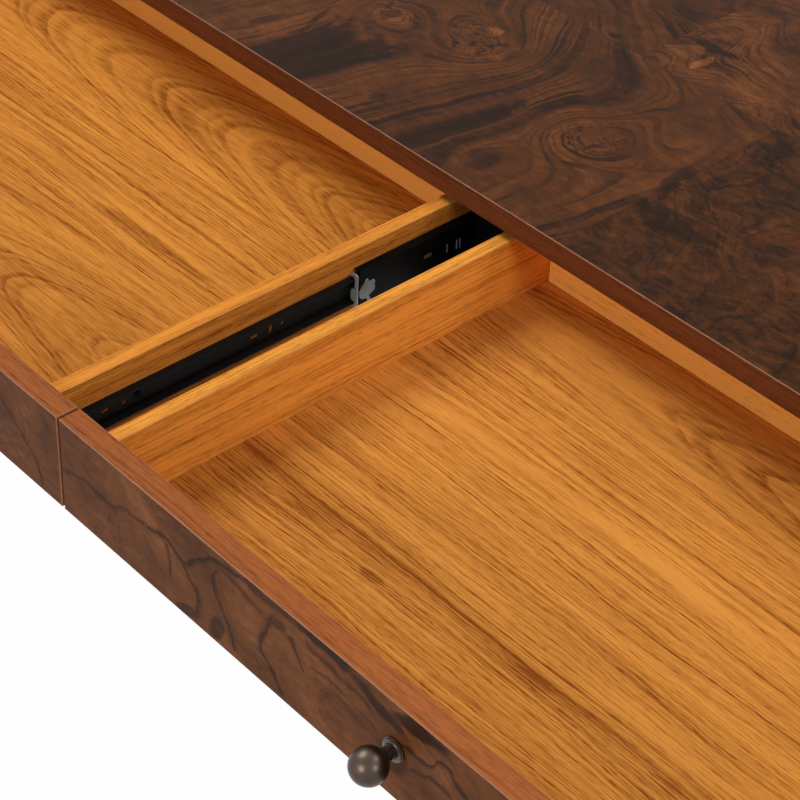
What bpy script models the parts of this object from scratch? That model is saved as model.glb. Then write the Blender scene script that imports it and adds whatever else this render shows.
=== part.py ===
"""Writing desk with two burl-fronted drawers that stand open on telescopic slides.

Metres, +Z up. The origin is on the floor under the middle of the whole desk with its drawers
open, +X runs along the desk's width and -Y is the way the drawers pull out.
"""
import math

import bmesh
import bpy
from mathutils import Vector

# Gaps and small working sizes
TOUCH_GAP = 0.0003
RUNNING_GAP = 0.0006
MERGE_DISTANCE = 0.00001
CUT_OVERRUN = 0.002
ARRIS = 0.0008

# Desktop
DESK_HEIGHT = 0.760
DESKTOP_DEPTH = 0.740
DESKTOP_THICKNESS = 0.022
SIDE_OVERHANG = 0.008
REAR_OVERHANG = 0.004

# Case under the desktop
SIDE_PANEL_THICKNESS = 0.024
DIVIDER_THICKNESS = 0.034
BACK_PANEL_THICKNESS = 0.018
BACK_PANEL_SETBACK = 0.006
RAIL_THICKNESS = 0.020
RAIL_DEPTH = 0.064

# Drawer fronts and the gaps round them
FRONT_WIDTH = 0.7485
FRONT_HEIGHT = 0.090
FRONT_THICKNESS = 0.020
FRONT_SETBACK = 0.004
FRONT_MIDDLE_GAP = 0.0025
FRONT_TOP_GAP = 0.00225
FRONT_BOTTOM_GAP = 0.00225
FRONT_SIDE_GAP = 0.00225

# Drawer boxes
BOX_SIDE_THICKNESS = 0.014
BOX_BACK_THICKNESS = 0.012
BOX_LENGTH = 0.478
BOX_TOP_DROP = 0.0065
BOX_BOTTOM_RISE = 0.004
FLOOR_DROP = 0.072
FLOOR_THICKNESS = 0.006
GROOVE_DEPTH = 0.006
GROOVE_CLEARANCE = 0.0003

# Drawer travel: how far the drawers stand open, and the rest of the pull
DRAWER_OPEN = 0.433
SLIDE_LENGTH = 0.450
MIDDLE_TRAVEL_SHARE = 1 / 3

# Knob
KNOB_BALL_RADIUS = 0.014
KNOB_REACH = 0.0235
KNOB_RISE = 0.0034
KNOB_NECK_RADIUS = 0.0055
KNOB_COLLAR_RADIUS = 0.0095
KNOB_COLLAR_HEIGHT = 0.0045
KNOB_COLLAR_ROUNDING = 0.0012
KNOB_SCREW_RADIUS = 0.002
KNOB_SCREW_CLEARANCE = 0.0005
KNOB_SCREW_ENGAGEMENT = 0.010
KNOB_SCREW_HEAD_RADIUS = 0.0042
KNOB_SCREW_HEAD_HEIGHT = 0.0024
KNOB_SEGMENTS = 40
KNOB_RINGS = 18

# Telescopic slide, seen along its length: depth across the gap and half height of each member
SLIDE_DEPTH = 0.0127
SLIDE_CENTRE_DROP = 0.04385
SLIDE_SHEET = 0.0012
SLIDE_FRONT_SETBACK = 0.002
CABINET_HALF_HEIGHT = 0.0228
MIDDLE_HALF_HEIGHT = 0.0201
DRAWER_MEMBER_HALF_HEIGHT = 0.0122
CABINET_LIP_DEPTH = 0.0095
MIDDLE_LIP_DEPTH = 0.0079
CAGE_SHEET = 0.0006
CAGE_LENGTH = 0.090
OUTER_CAGE_SETBACK = 0.228
INNER_CAGE_SETBACK = 0.206
MIDDLE_FRONT_SETBACK = 0.007
MIDDLE_END_CLEARANCE = 0.004

# End stop on the front of each middle member
STOP_PLATE_THICKNESS = 0.003
STOP_HALF_HEIGHT = 0.0183
STOP_LIP = 0.003
STOP_TAB_HALF_HEIGHT = 0.0045
STOP_TAB_CLEARANCE = 0.0009
LATCH_START = 0.0045
LATCH_LENGTH = 0.0155
LATCH_HALF_HEIGHT = 0.010
LATCH_NECK_HEIGHT = 0.005

# Holes in the slide members, measured from the member's front end and its centre line
SCREW_SLOT_LENGTH = 0.009
SCREW_SLOT_WIDTH = 0.004
SCREW_SLOT_PLACES = (0.0415, 0.1915)
SCREW_SLOT_DROP = 0.0004
SCREW_HOLE_RADIUS = 0.0024
SCREW_HOLE_PLACES = (0.060, 0.0726, 0.2216)
SCREW_HOLE_DROP = 0.0009
UPRIGHT_SLOT_PLACES = (0.2088,)
MIDDLE_WINDOW_START = 0.077
MIDDLE_WINDOW_LENGTH = 0.0105
MIDDLE_WINDOW_HEIGHT = 0.0055
MIDDLE_WINDOW_RISE = 0.0015
SLOT_CORNER_SEGMENTS = 6

# Legs
LEG_TOP_WIDTH = 0.050
LEG_FOOT_WIDTH = 0.030
LEG_INSET = 0.002
LEG_PLATE_WIDTH = 0.046
LEG_PLATE_THICKNESS = 0.0025
LEG_STUD_RADIUS = 0.004
LEG_STUD_LENGTH = 0.030
LEG_STUD_CLEARANCE = 0.0003
GLIDE_RADIUS = 0.011
GLIDE_HEIGHT = 0.008
GLIDE_EDGE = 0.0015
GLIDE_STEM_RADIUS = 0.004
GLIDE_STEM_LENGTH = 0.022
GLIDE_SEGMENTS = 24

# Places that follow from the sizes above
DESKTOP_UNDERSIDE_Z = DESK_HEIGHT - DESKTOP_THICKNESS
FRONT_TOP_Z = DESKTOP_UNDERSIDE_Z - FRONT_TOP_GAP
FRONT_BOTTOM_Z = FRONT_TOP_Z - FRONT_HEIGHT
RAIL_TOP_Z = FRONT_BOTTOM_Z - FRONT_BOTTOM_GAP
CASE_BOTTOM_Z = RAIL_TOP_Z - RAIL_THICKNESS
CASE_INNER_X = FRONT_MIDDLE_GAP / 2 + FRONT_WIDTH + FRONT_SIDE_GAP
CASE_OUTER_X = CASE_INNER_X + SIDE_PANEL_THICKNESS
DESKTOP_HALF_WIDTH = CASE_OUTER_X + SIDE_OVERHANG
KNOB_FRONT_REACH = KNOB_REACH + KNOB_BALL_RADIUS
DESKTOP_FRONT_Y = (DRAWER_OPEN - FRONT_SETBACK + KNOB_FRONT_REACH - DESKTOP_DEPTH) / 2
DESKTOP_REAR_Y = DESKTOP_FRONT_Y + DESKTOP_DEPTH
CLOSED_FRONT_Y = DESKTOP_FRONT_Y + FRONT_SETBACK
OPEN_FRONT_Y = CLOSED_FRONT_Y - DRAWER_OPEN
CASE_REAR_Y = DESKTOP_REAR_Y - REAR_OVERHANG
BACK_PANEL_REAR_Y = CASE_REAR_Y - BACK_PANEL_SETBACK
BACK_PANEL_FRONT_Y = BACK_PANEL_REAR_Y - BACK_PANEL_THICKNESS
CLOSED_SLIDE_FRONT_Y = CLOSED_FRONT_Y + FRONT_THICKNESS + SLIDE_FRONT_SETBACK
SLIDE_CENTRE_Z = FRONT_TOP_Z - SLIDE_CENTRE_DROP
BOX_INBOARD_X = DIVIDER_THICKNESS / 2 + SLIDE_DEPTH
BOX_OUTBOARD_X = CASE_INNER_X - SLIDE_DEPTH
BOX_FRONT_Y = OPEN_FRONT_Y + FRONT_THICKNESS + TOUCH_GAP
BOX_REAR_Y = BOX_FRONT_Y + BOX_LENGTH
BOX_TOP_Z = FRONT_TOP_Z - BOX_TOP_DROP
BOX_BOTTOM_Z = FRONT_BOTTOM_Z + BOX_BOTTOM_RISE
FLOOR_TOP_Z = FRONT_TOP_Z - FLOOR_DROP
MIDDLE_OPEN = DRAWER_OPEN * MIDDLE_TRAVEL_SHARE
OUTER_CAGE_OPEN = MIDDLE_OPEN / 2
INNER_CAGE_OPEN = (DRAWER_OPEN + MIDDLE_OPEN) / 2

# Depths inside one slide, from the face of the case towards the drawer box
CABINET_WEB_START = TOUCH_GAP
CABINET_WEB_END = CABINET_WEB_START + SLIDE_SHEET
OUTER_CAGE_START = CABINET_WEB_END + TOUCH_GAP
OUTER_CAGE_WEB_END = OUTER_CAGE_START + CAGE_SHEET
MIDDLE_WEB_START = OUTER_CAGE_WEB_END + TOUCH_GAP
MIDDLE_WEB_END = MIDDLE_WEB_START + SLIDE_SHEET
MIDDLE_LIP_END = MIDDLE_WEB_START + MIDDLE_LIP_DEPTH
INNER_CAGE_START = MIDDLE_WEB_END + TOUCH_GAP
INNER_CAGE_WEB_END = INNER_CAGE_START + CAGE_SHEET
DRAWER_LIP_START = INNER_CAGE_WEB_END + RUNNING_GAP
DRAWER_WEB_END = SLIDE_DEPTH - TOUCH_GAP
DRAWER_WEB_START = DRAWER_WEB_END - SLIDE_SHEET
CABINET_LIP_END = CABINET_WEB_START + CABINET_LIP_DEPTH
OUTER_CAGE_ARM_END = CABINET_LIP_END - TOUCH_GAP
INNER_CAGE_ARM_END = MIDDLE_LIP_END - TOUCH_GAP

UP = Vector((0, 0, 1))


def clear_scene():
    """Remove whatever objects the open file holds."""
    for old in list(bpy.data.objects):
        bpy.data.objects.remove(old, do_unlink=True)


def finish(name, colour, roughness, metallic=0.0):
    """Make one plain material."""
    material = bpy.data.materials.new(name)
    material.use_nodes = True
    shader = material.node_tree.nodes["Principled BSDF"]
    shader.inputs["Base Color"].default_value = (*colour, 1.0)
    shader.inputs["Roughness"].default_value = roughness
    shader.inputs["Metallic"].default_value = metallic
    return material


def object_from(name, mesh_builder, place, material, holder=None):
    """Turn a bmesh into a named object at a world place, held by an empty where it moves."""
    bmesh.ops.recalc_face_normals(mesh_builder, faces=mesh_builder.faces)
    mesh = bpy.data.meshes.new(name)
    mesh_builder.to_mesh(mesh)
    mesh_builder.free()
    mesh.materials.append(material)
    made = bpy.data.objects.new(name, mesh)
    bpy.context.scene.collection.objects.link(made)
    made.parent = holder
    made.location = Vector(place) - (holder.location if holder else Vector((0, 0, 0)))
    return made


def bevel_edges(made, width, segments=1):
    """Ease every edge of a piece with a small bevel."""
    bevel = made.modifiers.new("eased_edges", "BEVEL")
    bevel.width = width
    bevel.segments = segments
    bevel.limit_method = "ANGLE"
    return made


def smooth(made, sharp_angle):
    """Shade a round piece smooth and keep its real corners."""
    made.data.shade_smooth()
    made.data.set_sharp_from_angle(angle=sharp_angle)
    return made


def ordered(first, second):
    """Return two values from the lower to the higher."""
    return (first, second) if first < second else (second, first)


def block(name, x_span, y_span, z_span, material, holder=None):
    """Make a box from its spans along each axis, with its origin in its middle."""
    spans = [ordered(*span) for span in (x_span, y_span, z_span)]
    centre = [(low + high) / 2 for low, high in spans]
    size = [high - low for low, high in spans]
    builder = bmesh.new()
    bmesh.ops.create_cube(builder, size=1)
    bmesh.ops.scale(builder, vec=size, verts=builder.verts)
    return object_from(name, builder, centre, material, holder)


def extruded(name, outline, direction, place, material, holder=None):
    """Extrude a closed outline of local points along a direction."""
    builder = bmesh.new()
    corners = [builder.verts.new(point) for point in outline]
    face = builder.faces.new(corners)
    grown = bmesh.ops.extrude_face_region(builder, geom=[face])
    moved = [item for item in grown["geom"] if isinstance(item, bmesh.types.BMVert)]
    bmesh.ops.translate(builder, vec=direction, verts=moved)
    return object_from(name, builder, place, material, holder)


def turned(name, profile, axis, segments, place, material, holder=None):
    """Turn a profile of (radius, height) points round an axis through the place."""
    builder = bmesh.new()
    corners = [builder.verts.new((radius, 0, height)) for radius, height in profile]
    edges = [builder.edges.new(pair) for pair in zip(corners, corners[1:])]
    bmesh.ops.spin(builder, geom=corners + edges, cent=(0, 0, 0), axis=UP, angle=math.tau,
                   steps=segments, use_merge=True)
    bmesh.ops.remove_doubles(builder, verts=builder.verts, dist=MERGE_DISTANCE)
    tilt = UP.rotation_difference(Vector(axis)).to_matrix()
    bmesh.ops.rotate(builder, cent=(0, 0, 0), matrix=tilt, verts=builder.verts)
    return object_from(name, builder, place, material, holder)


def rod_profile(radius, low, high):
    """Return the profile that turns into a plain rod between two heights."""
    return [(0, low), (radius, low), (radius, high), (0, high)]


def as_cutter(made):
    """Mark a shape as a cutter, which shapes others and is not a piece itself."""
    made.hide_render = True
    made.display_type = "WIRE"
    return made


def combine(made, other, operation="DIFFERENCE"):
    """Cut another shape out of a piece, or join it to the piece."""
    change = made.modifiers.new(other.name, "BOOLEAN")
    change.operation = operation
    change.object = other
    change.solver = "EXACT"


def make_finishes():
    """Make the materials of the whole desk."""
    return {
        "burl": finish("burl_veneer", (0.16, 0.08, 0.05), 0.35),
        "walnut": finish("walnut", (0.22, 0.09, 0.04), 0.45),
        "oak": finish("oak", (0.55, 0.30, 0.12), 0.5),
        "black_paint": finish("black_paint", (0.01, 0.01, 0.01), 0.5),
        "black_steel": finish("black_steel", (0.02, 0.02, 0.02), 0.4, 0.7),
        "zinc": finish("zinc", (0.62, 0.60, 0.56), 0.35, 1.0),
        "gunmetal": finish("gunmetal", (0.10, 0.09, 0.09), 0.3, 1.0),
        "glide_plastic": finish("glide_plastic", (0.05, 0.05, 0.05), 0.6),
    }


def make_case(finishes):
    """Build the desktop and the shallow case that hangs the drawers under it."""
    walnut = finishes["walnut"]
    case_z = (CASE_BOTTOM_Z, DESKTOP_UNDERSIDE_Z - TOUCH_GAP)
    desktop = block("desktop", (-DESKTOP_HALF_WIDTH, DESKTOP_HALF_WIDTH),
                    (DESKTOP_FRONT_Y, DESKTOP_REAR_Y), (DESKTOP_UNDERSIDE_Z, DESK_HEIGHT), finishes["burl"])
    bevel_edges(desktop, ARRIS)
    for word, side in (("left", -1), ("right", 1)):
        panel = block(word + "_side_panel", (side * CASE_INNER_X, side * CASE_OUTER_X),
                      (CLOSED_FRONT_Y, CASE_REAR_Y), case_z, walnut)
        bevel_edges(panel, ARRIS)
    inner_x = (TOUCH_GAP - CASE_INNER_X, CASE_INNER_X - TOUCH_GAP)
    back_y = (BACK_PANEL_FRONT_Y, BACK_PANEL_REAR_Y)
    bevel_edges(block("back_panel", inner_x, back_y, case_z, walnut), ARRIS)
    rail_z = (CASE_BOTTOM_Z, RAIL_TOP_Z)
    front_rail_y = (CLOSED_FRONT_Y, CLOSED_FRONT_Y + RAIL_DEPTH)
    bevel_edges(block("front_bottom_rail", inner_x, front_rail_y, rail_z, walnut), ARRIS)
    rear_rail_end = BACK_PANEL_FRONT_Y - TOUCH_GAP
    rear_rail_y = (rear_rail_end - RAIL_DEPTH, rear_rail_end)
    bevel_edges(block("rear_bottom_rail", inner_x, rear_rail_y, rail_z, walnut), ARRIS)
    divider = block("centre_divider", (-DIVIDER_THICKNESS / 2, DIVIDER_THICKNESS / 2),
                    (CLOSED_SLIDE_FRONT_Y, BACK_PANEL_FRONT_Y - TOUCH_GAP),
                    (RAIL_TOP_Z + TOUCH_GAP, DESKTOP_UNDERSIDE_Z - TOUCH_GAP), finishes["black_paint"])
    bevel_edges(divider, ARRIS)


def make_leg(word, x, y, finishes):
    """Build one tapered leg with the plate that bolts it to the case and its foot glide."""
    plate_top = CASE_BOTTOM_Z - TOUCH_GAP
    plate_bottom = plate_top - LEG_PLATE_THICKNESS
    leg_top = plate_bottom - TOUCH_GAP
    half_plate = LEG_PLATE_WIDTH / 2
    plate = block(word + "_leg_plate", (x - half_plate, x + half_plate), (y - half_plate, y + half_plate),
                  (plate_bottom, plate_top), finishes["black_steel"])
    stud_profile = rod_profile(LEG_STUD_RADIUS, -LEG_STUD_LENGTH, LEG_PLATE_THICKNESS / 2)
    stud = turned(word + "_leg_stud_shape", stud_profile, UP, GLIDE_SEGMENTS, (x, y, plate_bottom),
                  finishes["black_steel"])
    combine(plate, as_cutter(stud), "UNION")

    builder = bmesh.new()
    rings = []
    for width, z in ((LEG_FOOT_WIDTH, GLIDE_HEIGHT + TOUCH_GAP), (LEG_TOP_WIDTH, leg_top)):
        half = width / 2
        corners = ((-half, -half), (half, -half), (half, half), (-half, half))
        rings.append([builder.verts.new((cx, cy, z)) for cx, cy in corners])
    builder.faces.new(rings[0])
    builder.faces.new(rings[1])
    bmesh.ops.bridge_loops(builder, edges=[edge for edge in builder.edges])
    leg = object_from(word + "_leg", builder, (x, y, 0), finishes["walnut"])
    bevel_edges(leg, ARRIS)
    hole_depth = LEG_STUD_LENGTH + LEG_STUD_CLEARANCE
    hole_profile = rod_profile(LEG_STUD_RADIUS + LEG_STUD_CLEARANCE, -hole_depth, CUT_OVERRUN)
    hole = turned(word + "_leg_stud_hole", hole_profile, UP, GLIDE_SEGMENTS, (x, y, leg_top),
                  finishes["walnut"])
    combine(leg, as_cutter(hole))
    stem_depth = GLIDE_STEM_LENGTH + LEG_STUD_CLEARANCE
    stem_profile = rod_profile(GLIDE_STEM_RADIUS + LEG_STUD_CLEARANCE, -CUT_OVERRUN, stem_depth)
    stem_hole = turned(word + "_glide_hole", stem_profile, UP, GLIDE_SEGMENTS, (x, y, GLIDE_HEIGHT),
                       finishes["walnut"])
    combine(leg, as_cutter(stem_hole))

    stem_top = GLIDE_HEIGHT + GLIDE_STEM_LENGTH
    glide_profile = [(0, 0), (GLIDE_RADIUS - GLIDE_EDGE, 0), (GLIDE_RADIUS, GLIDE_EDGE),
                     (GLIDE_RADIUS, GLIDE_HEIGHT), (GLIDE_STEM_RADIUS, GLIDE_HEIGHT),
                     (GLIDE_STEM_RADIUS, stem_top), (0, stem_top)]
    glide = turned(word + "_glide", glide_profile, UP, GLIDE_SEGMENTS, (x, y, 0), finishes["glide_plastic"])
    smooth(glide, math.radians(40))


def make_legs(finishes):
    """Stand the case on a leg under each corner."""
    leg_x = CASE_OUTER_X - LEG_INSET - LEG_TOP_WIDTH / 2
    front_y = CLOSED_FRONT_Y + LEG_INSET + LEG_TOP_WIDTH / 2
    rear_y = CASE_REAR_Y - LEG_INSET - LEG_TOP_WIDTH / 2
    for end_word, y in (("front", front_y), ("rear", rear_y)):
        for side_word, side in (("left", -1), ("right", 1)):
            make_leg(f"{end_word}_{side_word}", side * leg_x, y, finishes)


def moving_holder(name, place):
    """Make the empty that carries the pieces of one moving body."""
    holder = bpy.data.objects.new(name, None)
    bpy.context.scene.collection.objects.link(holder)
    holder.location = place
    return holder


def ball_profile():
    """Return the knob's outline from its neck at the collar to the pole of its ball."""
    neck_angle = math.asin(KNOB_NECK_RADIUS / KNOB_BALL_RADIUS)
    points = [(0, KNOB_COLLAR_HEIGHT + TOUCH_GAP), (KNOB_NECK_RADIUS, KNOB_COLLAR_HEIGHT + TOUCH_GAP)]
    for step in range(KNOB_RINGS + 1):
        angle = neck_angle + (math.pi - neck_angle) * step / KNOB_RINGS
        radius = KNOB_BALL_RADIUS * math.sin(angle)
        height = KNOB_REACH - KNOB_BALL_RADIUS * math.cos(angle)
        points.append((radius if step < KNOB_RINGS else 0, height))
    return points


def make_knob(word, x, front, holder, finishes):
    """Build the ball knob on its collar and the screw that holds both through the front."""
    outward = (0, -1, 0)
    place = (x, OPEN_FRONT_Y, FRONT_TOP_Z - FRONT_HEIGHT / 2 + KNOB_RISE)
    metal = finishes["gunmetal"]
    ball = turned(word + "_knob", ball_profile(), outward, KNOB_SEGMENTS, place, metal, holder)
    smooth(ball, math.radians(50))
    edge = KNOB_COLLAR_ROUNDING
    bore = KNOB_SCREW_RADIUS + KNOB_SCREW_CLEARANCE
    top = KNOB_COLLAR_HEIGHT
    collar_profile = [(bore, TOUCH_GAP), (KNOB_COLLAR_RADIUS, TOUCH_GAP), (KNOB_COLLAR_RADIUS, top - edge),
                      (KNOB_COLLAR_RADIUS - edge, top), (bore, top), (bore, TOUCH_GAP)]
    collar = turned(word + "_knob_collar", collar_profile, outward, KNOB_SEGMENTS, place, metal, holder)
    smooth(collar, math.radians(40))
    head_base = -FRONT_THICKNESS - TOUCH_GAP
    head_end = head_base - KNOB_SCREW_HEAD_HEIGHT
    tip = KNOB_COLLAR_HEIGHT + TOUCH_GAP + KNOB_SCREW_ENGAGEMENT
    screw_profile = [(0, head_end), (KNOB_SCREW_HEAD_RADIUS, head_end), (KNOB_SCREW_HEAD_RADIUS, head_base),
                     (KNOB_SCREW_RADIUS, head_base), (KNOB_SCREW_RADIUS, tip), (0, tip)]
    screw = turned(word + "_knob_screw", screw_profile, outward, GLIDE_SEGMENTS, place, finishes["zinc"],
                   holder)
    smooth(screw, math.radians(40))
    hole_profile = rod_profile(bore, head_base - CUT_OVERRUN, tip + KNOB_SCREW_CLEARANCE)
    hole = turned(word + "_knob_screw_hole", hole_profile, outward, GLIDE_SEGMENTS, place, metal, holder)
    as_cutter(hole)
    combine(front, hole)
    combine(ball, hole)


def make_drawer(word, side, finishes):
    """Build one drawer, box, front and knob, and return its holder."""
    inner_x = side * FRONT_MIDDLE_GAP / 2
    outer_x = inner_x + side * FRONT_WIDTH
    middle_x = (inner_x + outer_x) / 2
    holder = moving_holder(word, (middle_x, OPEN_FRONT_Y, FRONT_TOP_Z))
    oak = finishes["oak"]
    box_z = (BOX_BOTTOM_Z, BOX_TOP_Z)
    box_y = (BOX_FRONT_Y, BOX_REAR_Y)
    front = block(word + "_front", (inner_x, outer_x), (OPEN_FRONT_Y, OPEN_FRONT_Y + FRONT_THICKNESS),
                  (FRONT_BOTTOM_Z, FRONT_TOP_Z), finishes["burl"], holder)
    bevel_edges(front, ARRIS)
    inboard_x = side * BOX_INBOARD_X
    outboard_x = side * BOX_OUTBOARD_X
    thickness = side * BOX_SIDE_THICKNESS
    inboard = block(word + "_inboard_side", (inboard_x, inboard_x + thickness), box_y, box_z, oak, holder)
    outboard = block(word + "_outboard_side", (outboard_x - thickness, outboard_x), box_y, box_z, oak, holder)
    clear = side * TOUCH_GAP
    back = block(word + "_back", (inboard_x + thickness + clear, outboard_x - thickness - clear),
                 (BOX_REAR_Y - BOX_BACK_THICKNESS, BOX_REAR_Y), box_z, oak, holder)

    tongue = GROOVE_DEPTH - GROOVE_CLEARANCE
    floor_x = (inboard_x + thickness - side * tongue, outboard_x - thickness + side * tongue)
    floor_y = (OPEN_FRONT_Y + FRONT_THICKNESS - tongue, BOX_REAR_Y - BOX_BACK_THICKNESS + tongue)
    floor_z = (FLOOR_TOP_Z - FLOOR_THICKNESS, FLOOR_TOP_Z)
    block(word + "_floor", floor_x, floor_y, floor_z, oak, holder)
    grow = GROOVE_CLEARANCE
    groove_x = (floor_x[0] - side * grow, floor_x[1] + side * grow)
    groove_y = (floor_y[0] - grow, floor_y[1] + grow)
    groove_z = (floor_z[0] - grow, floor_z[1] + grow)
    groove = as_cutter(block(word + "_groove_shape", groove_x, groove_y, groove_z, oak, holder))
    for panel in (inboard, outboard, back):
        bevel_edges(panel, ARRIS)
    for panel in (front, inboard, outboard, back):
        combine(panel, groove)
    make_knob(word, middle_x, front, holder, finishes)
    return holder


def channel(web_start, web_end, lip_end, half_height, lip):
    """Return the outline of a C-shaped member as (depth, height) points."""
    inner = half_height - lip
    return [(web_start, -half_height), (lip_end, -half_height), (lip_end, -inner), (web_end, -inner),
            (web_end, inner), (lip_end, inner), (lip_end, half_height), (web_start, half_height)]


def slot_outline(length, width):
    """Return a slot's round-ended outline as (along, height) points round its middle."""
    radius = width / 2
    reach = length / 2 - radius
    points = []
    for centre, start in ((reach, -math.pi / 2), (-reach, math.pi / 2)):
        for step in range(SLOT_CORNER_SEGMENTS + 1):
            angle = start + math.pi * step / SLOT_CORNER_SEGMENTS
            points.append((centre + radius * math.cos(angle), radius * math.sin(angle)))
    return points


def round_outline(radius):
    """Return a round hole's outline as (along, height) points round its middle."""
    turns = [math.tau * step / (2 * SLOT_CORNER_SEGMENTS) for step in range(2 * SLOT_CORNER_SEGMENTS)]
    return [(radius * math.cos(angle), radius * math.sin(angle)) for angle in turns]


def punch(member, name, outline, x_span, y, z, holder):
    """Punch an (along, height) outline through a member's web."""
    low, high = ordered(*x_span)
    points = [(0, along, height) for along, height in outline]
    run = high - low + 2 * CUT_OVERRUN
    cutter = extruded(name, points, (run, 0, 0), (low - CUT_OVERRUN, y, z), member.data.materials[0], holder)
    combine(member, as_cutter(cutter))


def latch_outline():
    """Return the latch blade's outline behind the end stop as (along, height) points."""
    half = LATCH_HALF_HEIGHT
    neck = LATCH_NECK_HEIGHT
    root = STOP_PLATE_THICKNESS / 2
    start = LATCH_START
    end = start + LATCH_LENGTH
    return [(root, -half), (end - neck, -half), (end, -neck), (end, half - neck), (end - neck, half),
            (start + neck, half), (start, 0), (start, neck - half), (root, neck - half)]


def make_slide(word, case_face_x, towards_box, drawer, finishes):
    """Build one three-member telescopic slide between the case and a drawer box."""
    steel = finishes["black_steel"]

    def member(name, outline, y, length, material, holder):
        points = [(towards_box * depth, 0, height) for depth, height in outline]
        return extruded(name, points, (0, length, 0), (case_face_x, y, SLIDE_CENTRE_Z), material, holder)

    drawer_member_y = CLOSED_SLIDE_FRONT_Y - DRAWER_OPEN
    stop_y = CLOSED_SLIDE_FRONT_Y + MIDDLE_FRONT_SETBACK - MIDDLE_OPEN
    middle_y = stop_y + STOP_PLATE_THICKNESS + TOUCH_GAP
    middle_rear_y = CLOSED_SLIDE_FRONT_Y + SLIDE_LENGTH - MIDDLE_END_CLEARANCE - MIDDLE_OPEN
    middle_length = middle_rear_y - middle_y
    cabinet_face = (CABINET_WEB_START, CABINET_WEB_END, CABINET_LIP_END)
    member(word + "_cabinet_member", channel(*cabinet_face, CABINET_HALF_HEIGHT, SLIDE_SHEET),
           CLOSED_SLIDE_FRONT_Y, SLIDE_LENGTH, steel, None)

    middle_holder = moving_holder(word + "_middle", (case_face_x, stop_y, SLIDE_CENTRE_Z))
    middle_face = (MIDDLE_WEB_START, MIDDLE_WEB_END, MIDDLE_LIP_END)
    middle = member(word + "_middle_member", channel(*middle_face, MIDDLE_HALF_HEIGHT, SLIDE_SHEET),
                    middle_y, middle_length, steel, middle_holder)
    web_span = [case_face_x + towards_box * depth for depth in (MIDDLE_WEB_START, MIDDLE_WEB_END)]
    half_window = MIDDLE_WINDOW_HEIGHT / 2
    window = [(0, -half_window), (MIDDLE_WINDOW_LENGTH, -half_window), (MIDDLE_WINDOW_LENGTH, half_window),
              (0, half_window)]
    punch(middle, word + "_middle_window", window, web_span, stop_y + MIDDLE_WINDOW_START,
          SLIDE_CENTRE_Z + MIDDLE_WINDOW_RISE, middle_holder)

    drawer_face = (DRAWER_WEB_END, DRAWER_WEB_START, DRAWER_LIP_START)
    drawer_member = member(word + "_drawer_member",
                           channel(*drawer_face, DRAWER_MEMBER_HALF_HEIGHT, SLIDE_SHEET),
                           drawer_member_y, SLIDE_LENGTH, steel, drawer)
    web_span = [case_face_x + towards_box * depth for depth in (DRAWER_WEB_START, DRAWER_WEB_END)]
    long_slot = slot_outline(SCREW_SLOT_LENGTH, SCREW_SLOT_WIDTH)
    upright_slot = [(height, along) for along, height in long_slot]
    round_hole = round_outline(SCREW_HOLE_RADIUS)
    punched = [(long_slot, place, SCREW_SLOT_DROP) for place in SCREW_SLOT_PLACES]
    punched += [(round_hole, place, SCREW_HOLE_DROP) for place in SCREW_HOLE_PLACES]
    punched += [(upright_slot, place, SCREW_HOLE_DROP) for place in UPRIGHT_SLOT_PLACES]
    for number, (outline, place, drop) in enumerate(punched, start=1):
        punch(drawer_member, f"{word}_drawer_member_hole_{number}", outline, web_span,
              drawer_member_y + place, SLIDE_CENTRE_Z - drop, drawer)

    outer_arm = CABINET_HALF_HEIGHT - SLIDE_SHEET - TOUCH_GAP
    outer_room = outer_arm - MIDDLE_HALF_HEIGHT - TOUCH_GAP
    outer_y = CLOSED_SLIDE_FRONT_Y + OUTER_CAGE_SETBACK - OUTER_CAGE_OPEN
    outer_holder = moving_holder(word + "_outer_cage_run", (case_face_x, outer_y, SLIDE_CENTRE_Z))
    member(word + "_outer_ball_cage",
           channel(OUTER_CAGE_START, OUTER_CAGE_WEB_END, OUTER_CAGE_ARM_END, outer_arm, outer_room),
           outer_y, CAGE_LENGTH, finishes["zinc"], outer_holder)

    inner_arm = MIDDLE_HALF_HEIGHT - SLIDE_SHEET - TOUCH_GAP
    inner_room = inner_arm - DRAWER_MEMBER_HALF_HEIGHT - TOUCH_GAP
    inner_y = CLOSED_SLIDE_FRONT_Y + INNER_CAGE_SETBACK - INNER_CAGE_OPEN
    inner_holder = moving_holder(word + "_inner_cage_run", (case_face_x, inner_y, SLIDE_CENTRE_Z))
    member(word + "_inner_ball_cage",
           channel(INNER_CAGE_START, INNER_CAGE_WEB_END, INNER_CAGE_ARM_END, inner_arm, inner_room),
           inner_y, CAGE_LENGTH, finishes["zinc"], inner_holder)

    tab_end = DRAWER_WEB_START - STOP_TAB_CLEARANCE
    tab = STOP_TAB_HALF_HEIGHT
    outline = channel(OUTER_CAGE_START, MIDDLE_WEB_END, MIDDLE_LIP_END, STOP_HALF_HEIGHT, STOP_LIP)
    outline[4:4] = [(MIDDLE_WEB_END, -tab), (tab_end, -tab), (tab_end, tab), (MIDDLE_WEB_END, tab)]
    stop = member(word + "_end_stop", outline, stop_y, STOP_PLATE_THICKNESS, finishes["zinc"], middle_holder)
    blade = [(towards_box * OUTER_CAGE_START, along, height) for along, height in latch_outline()]
    latch = extruded(word + "_latch_blade_shape", blade, (towards_box * CAGE_SHEET, 0, 0),
                     (case_face_x, stop_y, SLIDE_CENTRE_Z), finishes["zinc"], middle_holder)
    combine(stop, as_cutter(latch), "UNION")


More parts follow.
